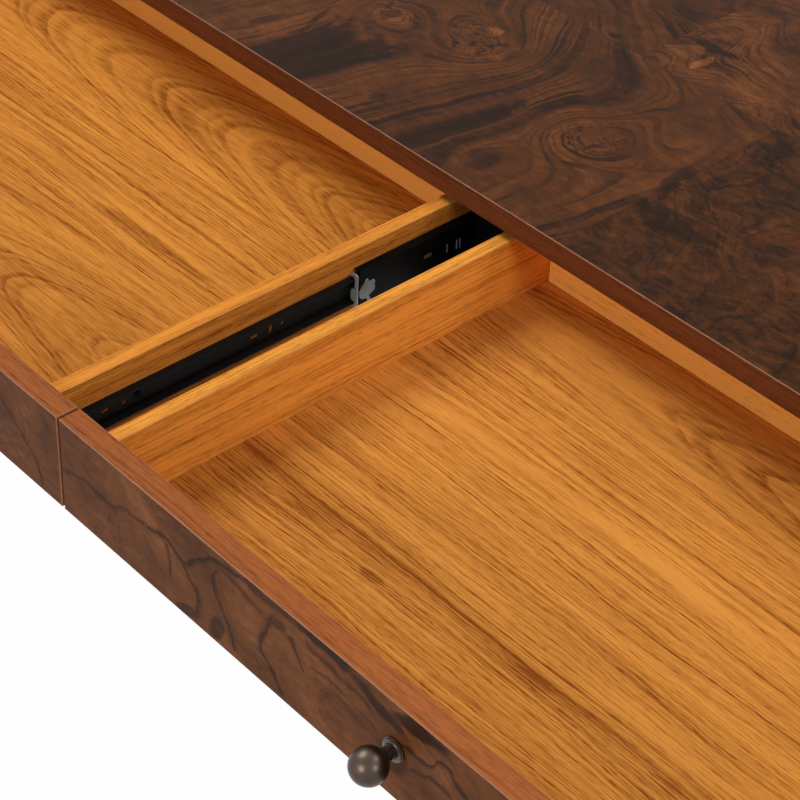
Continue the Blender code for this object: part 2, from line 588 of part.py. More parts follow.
def build():
    """Build the whole desk."""
    clear_scene()
    finishes = make_finishes()
    make_case(finishes)
    make_legs(finishes)
    for word, side in (("left_drawer", -1), ("right_drawer", 1)):
        drawer = make_drawer(word, side, finishes)
        make_slide(word + "_inboard_slide", side * DIVIDER_THICKNESS / 2, side, drawer, finishes)
        make_slide(word + "_outboard_slide", side * CASE_INNER_X, -side, drawer, finishes)


build()
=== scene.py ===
"""Dresses the burl writing desk: its veneers, woods, metals and small fittings, and the studio."""

import logging
import math
from collections.abc import Callable
from dataclasses import dataclass, field
from enum import Enum

import bmesh
import bpy
from mathutils import Matrix, Vector


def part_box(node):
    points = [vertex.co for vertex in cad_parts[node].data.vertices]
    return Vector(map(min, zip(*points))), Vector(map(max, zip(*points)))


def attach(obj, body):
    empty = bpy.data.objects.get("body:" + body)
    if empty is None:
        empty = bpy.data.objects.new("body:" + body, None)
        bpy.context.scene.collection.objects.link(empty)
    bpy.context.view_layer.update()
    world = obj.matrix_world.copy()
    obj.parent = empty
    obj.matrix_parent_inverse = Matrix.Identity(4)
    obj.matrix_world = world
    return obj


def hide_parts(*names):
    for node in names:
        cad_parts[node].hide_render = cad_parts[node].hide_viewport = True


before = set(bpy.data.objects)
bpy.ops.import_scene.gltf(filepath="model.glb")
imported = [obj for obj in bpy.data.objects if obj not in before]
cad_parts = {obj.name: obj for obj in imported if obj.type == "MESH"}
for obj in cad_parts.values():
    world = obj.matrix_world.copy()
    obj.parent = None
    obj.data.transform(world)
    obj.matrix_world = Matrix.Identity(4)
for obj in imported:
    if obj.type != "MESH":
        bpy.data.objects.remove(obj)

LOG = logging.getLogger("burl_desk")
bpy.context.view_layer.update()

Socket = bpy.types.NodeSocket
Value = Socket | float | tuple
Colour = tuple[float, float, float]


class Axis(Enum):
    """The axis that a piece's grain runs along, with the axes across it."""

    X = (0, 1, 2)
    Y = (1, 0, 2)
    Z = (2, 0, 1)


class Graph:
    """Writes nodes into one node tree, one call for each node."""

    def __init__(self, tree: bpy.types.NodeTree) -> None:
        """Keep the tree to write into.

        Args:
            tree: the node tree of a material, a world or a group.
        """
        self.tree = tree

    def node(self, kind: str, **settings: object) -> bpy.types.Node:
        """Add a node and set its own properties.

        Args:
            kind: the node's type name.
            settings: the properties to set on it.

        Returns:
            The new node.
        """
        made = self.tree.nodes.new(kind)
        for name, value in settings.items():
            setattr(made, name, value)
        return made

    def feed(self, socket: Socket, value: Value) -> None:
        """Link a socket to an input, or set the input's own value.

        Args:
            socket: the input.
            value: a socket, a number, or a tuple of numbers.
        """
        if isinstance(value, Socket):
            self.tree.links.new(value, socket)
        elif isinstance(value, tuple) and len(value) == 3 and len(socket.default_value) == 4:
            socket.default_value = (*value, 1.0)
        else:
            socket.default_value = value

    def math(self, operation: str, *values: Value, clamp: bool = False) -> Socket:
        """Return the result of a Math node.

        Args:
            operation: the node's operation.
            values: its inputs in order.
            clamp: whether the result is kept from 0 to 1.

        Returns:
            The result's socket.
        """
        made = self.node("ShaderNodeMath", operation=operation, use_clamp=clamp)
        for socket, value in zip(made.inputs, values):
            self.feed(socket, value)
        return made.outputs[0]

    def vector(self, operation: str, *values: Value) -> Socket:
        """Return the vector result of a Vector Math node.

        Args:
            operation: the node's operation.
            values: its inputs in order.

        Returns:
            The result's socket.
        """
        made = self.node("ShaderNodeVectorMath", operation=operation)
        for socket, value in zip(made.inputs, values):
            self.feed(socket, value)
        return made.outputs[0]

    def combine(self, x: Value, y: Value, z: Value = 0.0) -> Socket:
        """Return a vector made from three numbers.

        Args:
            x: the first number.
            y: the second.
            z: the third.

        Returns:
            The vector's socket.
        """
        made = self.node("ShaderNodeCombineXYZ")
        for socket, value in zip(made.inputs, (x, y, z)):
            self.feed(socket, value)
        return made.outputs[0]

    def split(self, vector: Value) -> tuple[Socket, Socket, Socket]:
        """Return the three numbers of a vector.

        Args:
            vector: the vector.

        Returns:
            The sockets of its three numbers.
        """
        made = self.node("ShaderNodeSeparateXYZ")
        self.feed(made.inputs[0], vector)
        return tuple(made.outputs)

    def step(self, value: Value, low: Value, high: Value) -> Socket:
        """Return a smooth step that is 0 at low and 1 at high.

        Args:
            value: what is tested.
            low: where the step starts.
            high: where it ends.

        Returns:
            The step's socket.
        """
        made = self.node("ShaderNodeMapRange", interpolation_type="SMOOTHSTEP")
        for name, item in (("Value", value), ("From Min", low), ("From Max", high)):
            self.feed(made.inputs[name], item)
        return made.outputs["Result"]

    def below(self, value: Value, low: Value, high: Value) -> Socket:
        """Return a smooth step that is 1 up to low and 0 from high."""
        return self.math("SUBTRACT", 1.0, self.step(value, low, high))

    def held(self, value: Value, low: float, high: float) -> Socket:
        """Return a value that is kept from low to high."""
        return self.math("MINIMUM", self.math("MAXIMUM", value, low), high)

    def stripe(self, value: Value, middle: float, low: float, high: float) -> Socket:
        """Return a smooth stripe that is 1 up to low from a middle value and 0 from high."""
        return self.below(self.math("ABSOLUTE", self.math("SUBTRACT", value, middle)), low, high)

    def dot(self, first: Value, second: Value) -> Socket:
        """Return the dot product of two vectors.

        Args:
            first: one vector.
            second: the other vector.

        Returns:
            The product's socket.
        """
        made = self.node("ShaderNodeVectorMath", operation="DOT_PRODUCT")
        self.feed(made.inputs[0], first)
        self.feed(made.inputs[1], second)
        return made.outputs["Value"]

    def scale(self, value: Value, to_low: float, to_high: float) -> Socket:
        """Return a 0 to 1 value spread from one number to another."""
        return self.math("MULTIPLY_ADD", value, to_high - to_low, to_low)

    def noise(self, place: Value, scale: float = 1.0, detail: float = 2.0, rough: float = 0.5,
              tint: bool = False) -> Socket:
        """Return a noise texture's value, or its colour.

        Args:
            place: where the noise is read.
            scale: how fine it is.
            detail: how many octaves it has.
            rough: how strong the finer octaves are.
            tint: whether the colour is returned, which is three noises in one.

        Returns:
            The noise's socket.
        """
        made = self.node("ShaderNodeTexNoise")
        for name, value in (("Vector", place), ("Scale", scale), ("Detail", detail), ("Roughness", rough)):
            self.feed(made.inputs[name], value)
        return made.outputs[1 if tint else 0]

    def line_noise(self, place: Value, scale: float, detail: float = 2.0) -> Socket:
        """Return a noise that changes along one number only.

        Args:
            place: the number that the noise is read at.
            scale: how fine it is.
            detail: how many octaves it has.

        Returns:
            The noise's socket.
        """
        made = self.node("ShaderNodeTexNoise", noise_dimensions="1D")
        for name, value in (("W", place), ("Scale", scale), ("Detail", detail)):
            self.feed(made.inputs[name], value)
        return made.outputs[0]

    def cells(self, place: Value, scale: float, randomness: float = 1.0) -> Socket:
        """Return the distance to the nearest point of a scatter of points.

        Args:
            place: where the scatter is read.
            scale: how fine it is.
            randomness: how far the points stray from a grid.

        Returns:
            The distance's socket.
        """
        made = self.node("ShaderNodeTexVoronoi")
        for name, value in (("Vector", place), ("Scale", scale), ("Randomness", randomness)):
            self.feed(made.inputs[name], value)
        return made.outputs["Distance"]

    def mix(self, share: Value, first: Value, second: Value) -> Socket:
        """Return a colour between two colours.

        Args:
            share: 0 for the first colour, 1 for the second.
            first: one colour.
            second: the other colour.

        Returns:
            The colour's socket.
        """
        made = self.node("ShaderNodeMix", data_type="RGBA")
        for place, value in ((0, share), (6, first), (7, second)):
            self.feed(made.inputs[place], value)
        return made.outputs[2]

    def blend(self, share: Value, first: Value, second: Value) -> Socket:
        """Return a number between two numbers.

        Args:
            share: 0 for the first number, 1 for the second.
            first: one number.
            second: the other number.

        Returns:
            The number's socket.
        """
        made = self.node("ShaderNodeMix", data_type="FLOAT")
        for place, value in ((0, share), (2, first), (3, second)):
            self.feed(made.inputs[place], value)
        return made.outputs[0]

    def ramp(self, value: Value, stops: list[tuple[float, Colour]]) -> Socket:
        """Return the colour of a ramp at a value.

        Args:
            value: where the ramp is read, from 0 to 1.
            stops: the ramp's places and colours, from low to high.

        Returns:
            The colour's socket.
        """
        made = self.node("ShaderNodeValToRGB")
        while len(made.color_ramp.elements) < len(stops):
            made.color_ramp.elements.new(1.0)
        for element, (place, colour) in zip(made.color_ramp.elements, stops):
            element.position = place
            element.color = (*colour, 1.0)
        self.feed(made.inputs[0], value)
        return made.outputs[0]

    def curve(self, value: Value, points: list[tuple[float, float]]) -> Socket:
        """Return the height of a smooth curve through points from 0 to 1 at a value.

        Args:
            value: where the curve is read, from 0 to 1.
            points: the points that it goes through, from left to right.

        Returns:
            The height's socket.
        """
        made = self.node("ShaderNodeFloatCurve")
        line = made.mapping.curves[0]
        while len(line.points) < len(points):
            line.points.new(0.5, 0.5)
        for point, (x, y) in zip(line.points, points):
            point.location = (x, y)
        made.mapping.update()
        self.feed(made.inputs["Value"], value)
        return made.outputs[0]

    def use(self, group: bpy.types.NodeTree, **values: Value) -> dict[str, Socket]:
        """Place a shared group.

        Args:
            group: the group to place.
            values: what feeds its inputs, with _ for each space in an input's name.

        Returns:
            The group's outputs by name.
        """
        made = self.node("ShaderNodeGroup", node_tree=group)
        for name, value in values.items():
            self.feed(made.inputs[name.replace("_", " ")], value)
        return {socket.name: socket for socket in made.outputs}

    def surface(self) -> tuple[Socket, Socket]:
        """Return the place on the piece and the way its face points."""
        place = self.node("ShaderNodeTexCoord").outputs["Object"]
        return place, self.node("ShaderNodeNewGeometry").outputs["True Normal"]


class Group(Graph):
    """A node group that several materials share."""

    def __init__(self, name: str, inputs: dict[str, float | tuple], outputs: tuple[str, ...]) -> None:
        """Make the group and its sockets.

        Args:
            name: the group's name.
            inputs: its inputs with the values they start with; a tuple makes a vector.
            outputs: its outputs; those that end with colour are colours, the rest are numbers.
        """
        super().__init__(bpy.data.node_groups.new(name, "ShaderNodeTree"))
        for socket, start in inputs.items():
            kind = "NodeSocketVector" if isinstance(start, tuple) else "NodeSocketFloat"
            made = self.tree.interface.new_socket(name=socket, in_out="INPUT", socket_type=kind)
            made.default_value = start
        for socket in outputs:
            kind = "NodeSocketColor" if socket.endswith("colour") else "NodeSocketFloat"
            self.tree.interface.new_socket(name=socket, in_out="OUTPUT", socket_type=kind)
        self.given = self.node("NodeGroupInput").outputs
        self.result = self.node("NodeGroupOutput").inputs

    def out(self, **values: Value) -> bpy.types.NodeTree:
        """Link the outputs and return the finished tree.

        Args:
            values: what feeds the outputs, with _ for each space in an output's name.

        Returns:
            The finished tree.
        """
        for name, value in values.items():
            self.feed(self.result[name.replace("_", " ")], value)
        return self.tree


class SharedEffects:
    """Builds each shared effect once, as a node group, and each finish once, as a material."""

    # An eased edge is where no part of the normal comes near 1; a noise varies it, as a painted highlight on
    # the woods and as wear on the hard finishes.
    ROUNDED, FLAT = 0.74, 0.97
    WEAR_SCALE, WEAR_RANGE = 90.0, (0.55, 1.25)
    # Stretched noises: steps a metre along the grain, steps a metre across it, and octaves.
    FIBRE, PORE = (16.0, 640.0, 3.0), (75.0, 860.0, 1.0)
    STREAK, TONE = (6.5, 170.0, 4.0), (1.9, 16.0, 2.0)
    PORE_EDGE = (0.50, 0.62)
    # Growth rings wander by these many metres at most, slowly and quickly.
    SLOW_WANDER, QUICK_WANDER = 0.017, 0.0025
    UNEVEN_SPACING = 1.6
    RING_STRENGTH = (-0.35, 1.55)
    # Steps a metre of the burl's noises, and lines a metre of its flow.
    CLOUD_SCALE, FADING_SCALE, HAIR_PATCH_SCALE, MOTTLE_SCALE = 15.0, 19.0, 26.0, 58.0
    LUMP_SCALE, SQUIGGLE_SCALE, WORM_SCALE, SPECK_SCALE = 78.0, 90.0, 120.0, 190.0
    BROAD_LINES, VEIN_LINES, HAIR_LINES = 21.0, 60.0, 150.0
    # How far each part of the burl moves its tone from that of plain wood.
    PLAIN_TONE, BROAD_SHARE, VEIN_SHARE, HAIR_SHARE = 0.54, 0.72, -0.27, -0.11
    CLOUD_SHARE, HEART_SHARE, CORE_LIFT = 0.62, -0.36, 0.13
    DARK_SHARE, DARKEST = 0.32, 0.04
    # Burl colours by tone, on a warm sheet of veneer and on a cool one.
    WARM_BURL = [(0.10, (0.013, 0.0085, 0.0062)), (0.34, (0.040, 0.0182, 0.0105)),
                 (0.54, (0.103, 0.0360, 0.0140)), (0.74, (0.178, 0.0615, 0.0210)),
                 (1.0, (0.31, 0.118, 0.042))]
    COOL_BURL = [(0.10, (0.011, 0.0068, 0.0042)), (0.34, (0.031, 0.0135, 0.0062)),
                 (0.54, (0.079, 0.0280, 0.0092)), (0.74, (0.140, 0.0490, 0.0145)),
                 (1.0, (0.20, 0.078, 0.026))]
    # Dust specks, rubbed places and scratches: steps a metre.
    DUST_SCALE, RUB_SCALE, SCRATCH_STRETCH = 700.0, 60.0, (1900.0, 45.0, 420.0)

    def __init__(self) -> None:
        """Build every group."""
        self.arris = self._arris()
        self.fibres = self._fibres()
        self.rings = self._rings()
        self.patch = self._patch()
        self.figure = self._figure()
        self.dust = self._dust()
        self.finished: dict[str, bpy.types.Material] = {}

    def finish(self, wanted: "Walnut | Oak | Burl | HardFinish") -> bpy.types.Material:
        """Return a finish's material, made the first time it is asked for.

        Args:
            wanted: the finish.

        Returns:
            Its material.
        """
        if wanted.name not in self.finished:
            self.finished[wanted.name] = wanted.make(self)
        return self.finished[wanted.name]

    @classmethod
    def _arris(cls) -> bpy.types.NodeTree:
        """Return the group that finds the eased edges of a square-cut piece by their normals.

        Returns:
            The group's tree.
        """
        made = Group("eased_edge", {"Normal": (0.0, 0.0, 1.0), "Place": (0.0, 0.0, 0.0)}, ("Edge",))
        sides = made.split(made.vector("ABSOLUTE", made.given["Normal"]))
        largest = made.math("MAXIMUM", made.math("MAXIMUM", sides[0], sides[1]), sides[2])
        # The noise breaks up the painted highlight on wood and the wear on hard finishes.
        worn = made.scale(made.noise(made.given["Place"], cls.WEAR_SCALE), *cls.WEAR_RANGE)
        eased = made.below(largest, cls.ROUNDED, cls.FLAT)
        return made.out(Edge=made.math("MULTIPLY", eased, worn, clamp=True))

    @classmethod
    def _fibres(cls) -> bpy.types.NodeTree:
        """Return the group of fine fibres, short pores and slow change of tone along a grain.

        Returns:
            The group's tree.
        """
        made = Group("wood_fibres", {"Along": 0.0, "Across": 0.0, "Depth": 0.0, "Seed": 0.0},
                     ("Fibre", "Pore", "Streak", "Tone"))
        along, across, depth = (made.given[name] for name in ("Along", "Across", "Depth"))
        seed = made.given["Seed"]

        def stretched(length: float, width: float, detail: float) -> Socket:
            """Return noise that is long along the grain and narrow across it.

            Args:
                length: steps a metre along the grain.
                width: steps a metre across it.
                detail: how many octaves it has.

            Returns:
                The noise's socket.
            """
            place = made.combine(made.math("MULTIPLY_ADD", along, length, seed),
                                 made.math("MULTIPLY", across, width), made.math("MULTIPLY", depth, width))
            return made.noise(place, 1.0, detail, 0.6)

        return made.out(Fibre=stretched(*cls.FIBRE), Pore=made.step(stretched(*cls.PORE), *cls.PORE_EDGE),
                        Streak=stretched(*cls.STREAK), Tone=stretched(*cls.TONE))

    @classmethod
    def _rings(cls) -> bpy.types.NodeTree:
        """Return the group that turns a distance across the growth rings into porous and dense wood.

        Returns:
            The group's tree.
        """
        made = Group("growth_rings", {"Along": 0.0, "Across": 0.0, "Depth": 0.0, "Ring": 0.0, "Waviness": 1.0,
                                      "Density": 200.0, "Seed": 0.0}, ("Porous", "Broad", "Warped"))
        given = made.given

        def wander(length: float, width: float, detail: float, reach: float) -> Socket:
            """Return how far the rings wander, in metres either way.

            Args:
                length: steps a metre along the grain.
                width: steps a metre across it.
                detail: how many octaves the noise has.
                reach: how far it goes at most, in metres.

            Returns:
                The distance's socket.
            """
            place = made.combine(made.math("MULTIPLY_ADD", given["Along"], length, given["Seed"]),
                                 made.math("MULTIPLY", given["Across"], width), given["Depth"])
            return made.math("MULTIPLY", made.scale(made.noise(place, 1.0, detail), -reach, reach),
                             given["Waviness"])

        slow, quick = wander(3.2, 13.0, 1.0, cls.SLOW_WANDER), wander(24.0, 80.0, 2.0, cls.QUICK_WANDER)
        away = made.math("ADD", slow, quick)
        warped = made.math("ADD", given["Ring"], away)
        level = made.math("MULTIPLY", made.math("ADD", warped, given["Seed"]), given["Density"])
        uneven = made.scale(made.line_noise(level, 0.35, 1.0), -cls.UNEVEN_SPACING, cls.UNEVEN_SPACING)
        level = made.math("ADD", level, uneven)
        phase = made.math("FRACT", level)
        strong = made.scale(made.line_noise(made.math("FLOOR", level), 3.7, 0.0), *cls.RING_STRENGTH)
        porous = made.math("MULTIPLY", made.step(phase, 0.0, 0.16), made.below(phase, 0.26, 0.86))
        return made.out(Porous=made.math("MULTIPLY", porous, strong, clamp=True),
                        Broad=made.line_noise(level, 0.13, 1.0),
                        Warped=made.math("ADD", given["Across"], away))

    @staticmethod
    def _patch() -> bpy.types.NodeTree:
        """Return the group of one oval patch: a swelling that fades outwards, and a ragged mask.

        Returns:
            The group's tree.
        """
        made = Group("oval_patch", {"Place": (0.0, 0.0, 0.0), "Centre": (0.0, 0.0, 0.0),
                                    "Along": (1.0, 0.0, 0.0), "Aside": (0.0, 1.0, 0.0), "Ragged": 0.0},
                     ("Swell", "Mask", "Heart"))
        away = made.vector("SUBTRACT", made.given["Place"], made.given["Centre"])
        along, aside = made.dot(away, made.given["Along"]), made.dot(away, made.given["Aside"])
        spread = made.math("MULTIPLY_ADD", aside, aside, made.math("MULTIPLY", along, along))
        swell = made.math("EXPONENT", made.math("MULTIPLY", spread, -1.0))
        ragged = made.math("ADD", spread, made.given["Ragged"])
        return made.out(Swell=swell, Mask=made.below(ragged, 0.35, 1.25),
                        Heart=made.below(ragged, 0.22, 0.72))

    @classmethod
    def _lines(cls, made: Group, flow: Socket, place: Socket, cloud: Socket) -> Socket:
        """Return how far the figure's broad lines, veins and hair lines move its tone.

        Args:
            made: the group to write into.
            flow: the flow that the lines follow.
            place: the place on the face.
            cloud: the figure's slow noise.

        Returns:
            The change of tone.
        """
        wave = made.line_noise(flow, cls.VEIN_LINES, 1.0)
        vein = made.math("MULTIPLY", made.step(wave, 0.445, 0.500), made.below(wave, 0.505, 0.60))
        vein = made.math("MULTIPLY", vein, made.step(cloud, 0.36, 0.60))
        hair = made.stripe(made.line_noise(flow, cls.HAIR_LINES, 1.0), 0.5, 0.0, 0.11)
        hair_patch = made.step(made.noise(place, cls.HAIR_PATCH_SCALE, 2.0), 0.40, 0.66)
        hair = made.math("MULTIPLY", hair, hair_patch)
        broad = made.line_noise(flow, cls.BROAD_LINES, 1.0)
        lines = made.math("MULTIPLY_ADD", broad, cls.BROAD_SHARE, -cls.BROAD_SHARE / 2.0)
        lines = made.math("MULTIPLY_ADD", vein, cls.VEIN_SHARE, lines)
        lines = made.math("MULTIPLY_ADD", hair, cls.HAIR_SHARE, lines)
        fading = made.scale(made.noise(place, cls.FADING_SCALE, 3.0, 0.6), -0.55, 1.95)
        return made.math("MULTIPLY", lines, made.held(fading, 0.24, 1.20))

    @classmethod
    def _heart(cls, made: Group, place: Socket, core: Socket) -> Socket:
        """Return the mask of the small knots, lumps and specks in the heart of an eye.

        Args:
            made: the group to write into.
            place: the place on the face.
            core: 1 in the heart of an eye.

        Returns:
            The mask's socket.
        """
        worm = made.stripe(made.noise(place, cls.WORM_SCALE, 1.0), 0.5, 0.0, 0.035)
        lump = made.step(made.noise(place, cls.LUMP_SCALE, 2.0), 0.56, 0.66)
        speck = made.below(made.cells(place, cls.SPECK_SCALE), 0.16, 0.36)
        found = made.math("MAXIMUM", made.math("MULTIPLY", worm, 0.45), made.math("MULTIPLY", speck, 0.75))
        return made.math("MULTIPLY", made.math("MAXIMUM", found, made.math("MULTIPLY", lump, 0.8)), core)

    @classmethod
    def _figure(cls) -> bpy.types.NodeTree:
        """Return the group that draws burl figure as lines of equal height of a flow.

        Returns:
            The group's tree.
        """
        made = Group("burl_figure", {"Flow": 0.0, "Place": (0.0, 0.0, 0.0), "Core": 0.0, "Dark": 0.0,
                                     "Warmth": 0.5, "Lift": 0.0, "Lines": 1.0, "Mottle": 0.3},
                     ("Burl colour", "Shade"))
        given = made.given
        place, core = given["Place"], given["Core"]
        squiggle = made.scale(made.noise(place, cls.SQUIGGLE_SCALE, 2.0, 0.6), -0.012, 0.012)
        flow = made.math("MULTIPLY_ADD", squiggle, core, given["Flow"])
        cloud = made.noise(place, cls.CLOUD_SCALE, 4.0, 0.62)
        mottle = made.noise(made.vector("MULTIPLY", place, (1.0, 2.2, 1.0)), cls.MOTTLE_SCALE, 5.0, 0.68)
        tone = made.math("MULTIPLY_ADD", cls._lines(made, flow, place, cloud), given["Lines"], cls.PLAIN_TONE)
        tone = made.math("MULTIPLY_ADD", made.scale(cloud, -0.5, 0.5), cls.CLOUD_SHARE, tone)
        tone = made.math("MULTIPLY_ADD", made.scale(mottle, -0.5, 0.5), given["Mottle"], tone)
        tone = made.math("MULTIPLY_ADD", cls._heart(made, place, core), cls.HEART_SHARE, tone)
        tone = made.math("MULTIPLY_ADD", core, cls.CORE_LIFT, tone)
        tone = made.math("ADD", tone, given["Lift"])
        dark = made.math("MULTIPLY_ADD", tone, cls.DARK_SHARE, cls.DARKEST)
        tone = made.blend(given["Dark"], tone, dark)
        warm, cool = made.ramp(tone, cls.WARM_BURL), made.ramp(tone, cls.COOL_BURL)
        return made.out(Burl_colour=made.mix(given["Warmth"], cool, warm), Shade=tone)

    @classmethod
    def _dust(cls) -> bpy.types.NodeTree:
        """Return the group of faint dust, rubbed places and fine scratches on a hard surface.

        Returns:
            The group's tree.
        """
        made = Group("handled_surface", {"Place": (0.0, 0.0, 0.0)}, ("Speck", "Rub", "Scratch"))
        place = made.given["Place"]
        speck = made.below(made.cells(place, cls.DUST_SCALE), 0.05, 0.16)
        scratch = made.noise(made.vector("MULTIPLY", place, cls.SCRATCH_STRETCH), 1.0, 1.0)
        return made.out(Speck=speck, Rub=made.noise(place, cls.RUB_SCALE, 4.0, 0.65),
                        Scratch=made.step(scratch, 0.68, 0.76))


def new_material(name: str, **constants: Value) -> tuple[Graph, bpy.types.Node, bpy.types.Material]:
    """Make a material whose shader carries its own constants.

    Args:
        name: the material's name.
        constants: values of the shader's own sockets, with _ for each space in a socket's name.

    Returns:
        The graph to write the material in, its shader, and the material.
    """
    material = bpy.data.materials.new(name)
    material.use_nodes = True
    graph = Graph(material.node_tree)
    shader = material.node_tree.nodes["Principled BSDF"]
    for socket, value in constants.items():
        graph.feed(shader.inputs[socket.replace("_", " ")], value)
    return graph, shader, material


def bump(graph: Graph, shader: bpy.types.Node, height: Socket, depth: float) -> None:
    """Raise a surface by a height from 0 to 1.

    Args:
        graph: the material's graph.
        shader: the shader whose normal is fed.
        height: the height's socket.
        depth: how high 1 is, in metres.
    """
    made = graph.node("ShaderNodeBump")
    made.inputs["Strength"].default_value = 1.0
    made.inputs["Distance"].default_value = depth
    graph.feed(made.inputs["Height"], height)
    graph.feed(shader.inputs["Normal"], made.outputs[0])


@dataclass(frozen=True)
class Patch:
    """An oval on the face, in metres: darker, or paler where its strength is below zero; most are the wood's
    own figure, a few on the right drawer's floor are painted shade.
    """

    across: float
    up: float
    width: float
    height: float
    strength: float
    turn: float = 0.0
    soft: bool = False

    @property
    def output(self) -> str:
        """The group's output that this patch shows."""
        return "Swell" if self.soft else "Mask"

    def find(self, graph: Graph, effects: SharedEffects, place: Socket,
             ragged: Value = 0.0) -> dict[str, Socket]:
        """Write the patch's group and return its outputs.

        Args:
            graph: the graph to write into.
            effects: the shared groups.
            place: the place on the face.
            ragged: what frays the patch's edge.

        Returns:
            The group's outputs by name.
        """
        turn = math.radians(self.turn)
        along = (math.cos(turn) / self.width, math.sin(turn) / self.width, 0.0)
        aside = (-math.sin(turn) / self.height, math.cos(turn) / self.height, 0.0)
        return graph.use(effects.patch, Place=place, Centre=(self.across, self.up, 0.0), Along=along,
                         Aside=aside, Ragged=ragged)


@dataclass(frozen=True)
class Eye(Patch):
    """One eye of the burl: its strength lifts the flow, and its burr is how mottled its heart is."""

    burr: float = 0.0


@dataclass(frozen=True)
class DarkBand:
    """A broad dark stripe of the figure, by the flow's value and the height at which it ends."""

    flow: float
    half_width: float
    soft: float
    top: float
    strength: float = 1.0


@dataclass(frozen=True)
class Vein:
    """A dark vein through points on the face, with a shadow as wide as given on one side of it.

    A steep vein rises from point to point, and a shadow below zero lies on the other side.
    """

    points: tuple[tuple[float, float], ...]
    half_width: float
    strength: float = 0.8
    steep: bool = False
    shadow: float = 0.0

    NARROWEST, SHARP_SIDE, SHADOW_SHARE = 0.0006, 0.0008, 0.62

    def mask(self, graph: Graph, across: Socket, up: Socket, ragged: Socket) -> Socket:
        """Return the vein's mask, whose width follows the ragged noise.

        Args:
            graph: the graph to write into.
            across: the place across the face.
            up: the place up the face.
            ragged: the noise that its width follows.

        Returns:
            The mask's socket.
        """
        run, aside = (up, across) if self.steep else (across, up)
        points = sorted((v, u) if self.steep else (u, v) for u, v in self.points)
        low, high = points[0][0], points[-1][0]
        bottom = min(v for _, v in points)
        height = max(v for _, v in points) - bottom + 0.0005
        shares = [((u - low) / (high - low), (v - bottom) / height) for u, v in points]
        share = graph.math("DIVIDE", graph.math("SUBTRACT", run, low), high - low)
        line = graph.math("MULTIPLY_ADD", graph.curve(share, shares), height, bottom)
        width = graph.math("MULTIPLY", graph.scale(ragged, -1.2, 3.2), self.half_width)
        off = graph.math("SUBTRACT", aside, line)
        found = graph.below(graph.math("ABSOLUTE", off), 0.0, graph.math("MAXIMUM", width, self.NARROWEST))
        if self.shadow:
            if self.shadow > 0.0:
                rise, fall = graph.step(off, -self.shadow, 0.0), graph.below(off, 0.0, self.SHARP_SIDE)
            else:
                rise, fall = graph.step(off, -self.SHARP_SIDE, 0.0), graph.below(off, 0.0, -self.shadow)
            fade = graph.math("MULTIPLY", graph.math("MULTIPLY", rise, fall), self.SHADOW_SHARE)
            found = graph.math("MAXIMUM", found, fade)
        ends = graph.math("MULTIPLY", graph.step(share, 0.0, 0.07), graph.below(share, 0.93, 1.0))
        return graph.math("MULTIPLY", graph.math("MULTIPLY", found, ends), self.strength)


@dataclass(frozen=True)
class Leaf:
    """One sheet of burl veneer: its edges on the face, where it has any, and its figure."""

    left: float | None = None
    right: float | None = None
    near: float | None = None
    far: float | None = None
    turn: float = -12.0
    eyes: tuple[Eye, ...] = ()
    bands: tuple[DarkBand, ...] = ()
    scatter: float = 0.0
    lift: float = 0.0
    warmth: float = 0.6
    lines: float = 1.0
    mottle: float = 0.3
    flutter: float = 0.004
    seed: float = 0.0

    # A band's end is ragged by this many metres either way, and fades from below its top to above it.
    RAGGED_END, FADE_BELOW, FADE_ABOVE = 0.055, 0.028, 0.016

    def mask(self, graph: Graph, across: Socket, up: Socket) -> Socket | None:
        """Return 1 inside the leaf's edges, or None for a leaf that has none.

        Args:
            graph: the graph to write into.
            across: the place across the face.
            up: the place up the face.

        Returns:
            The mask's socket, or None.
        """
        found = None
        for value, bound, test in ((across, self.left, "GREATER_THAN"), (across, self.right, "LESS_THAN"),
                                   (up, self.near, "GREATER_THAN"), (up, self.far, "LESS_THAN")):
            if bound is not None:
                inside = graph.math(test, value, bound)
                found = inside if found is None else graph.math("MULTIPLY", found, inside)
        return found

    def flow(self, graph: Graph, effects: SharedEffects, place: Socket, ragged: Socket,
             scattered: Socket) -> tuple[Socket, Value]:
        """Return the flow that the leaf's lines follow, and the mask of its eyes' hearts.

        Args:
            graph: the graph to write into.
            effects: the shared groups.
            place: the place on the face.
            ragged: what frays the hearts' edges.
            scattered: the scatter of small swellings.

        Returns:
            The flow, and the mask of the hearts.
        """
        turn = math.radians(self.turn)
        flow = graph.dot(place, (math.cos(turn), math.sin(turn), 0.0))
        flow = graph.math("MULTIPLY_ADD", scattered, self.scatter, flow)
        core: Value = 0.0
        for eye in self.eyes:
            found = eye.find(graph, effects, place, ragged if eye.burr else 0.0)
            flow = graph.math("MULTIPLY_ADD", found["Swell"], eye.strength, flow)
            if eye.burr:
                core = graph.math("MAXIMUM", graph.math("MULTIPLY", found["Heart"], eye.burr), core)
        return flow, core

    def dark(self, graph: Graph, flow: Socket, up: Socket, ragged: Socket) -> Value:
        """Return the mask of the leaf's broad dark bands.

        Args:
            graph: the graph to write into.
            flow: the leaf's flow.
            up: the place up the face.
            ragged: the noise that frays the bands' ends.

        Returns:
            The mask.
        """
        found: Value = 0.0
        for band in self.bands:
            edge = graph.math("ADD", up, graph.scale(ragged, -self.RAGGED_END, self.RAGGED_END))
            mask = graph.stripe(flow, band.flow, band.half_width - band.soft, band.half_width + band.soft)
            ending = graph.below(edge, band.top - self.FADE_BELOW, band.top + self.FADE_ABOVE)
            mask = graph.math("MULTIPLY", graph.math("MULTIPLY", mask, ending), band.strength)
            found = graph.math("MAXIMUM", mask, found)
        return found


# How far growth rings lean over in the depth of a board, so that its edges show them too.
RING_TILT = 0.83


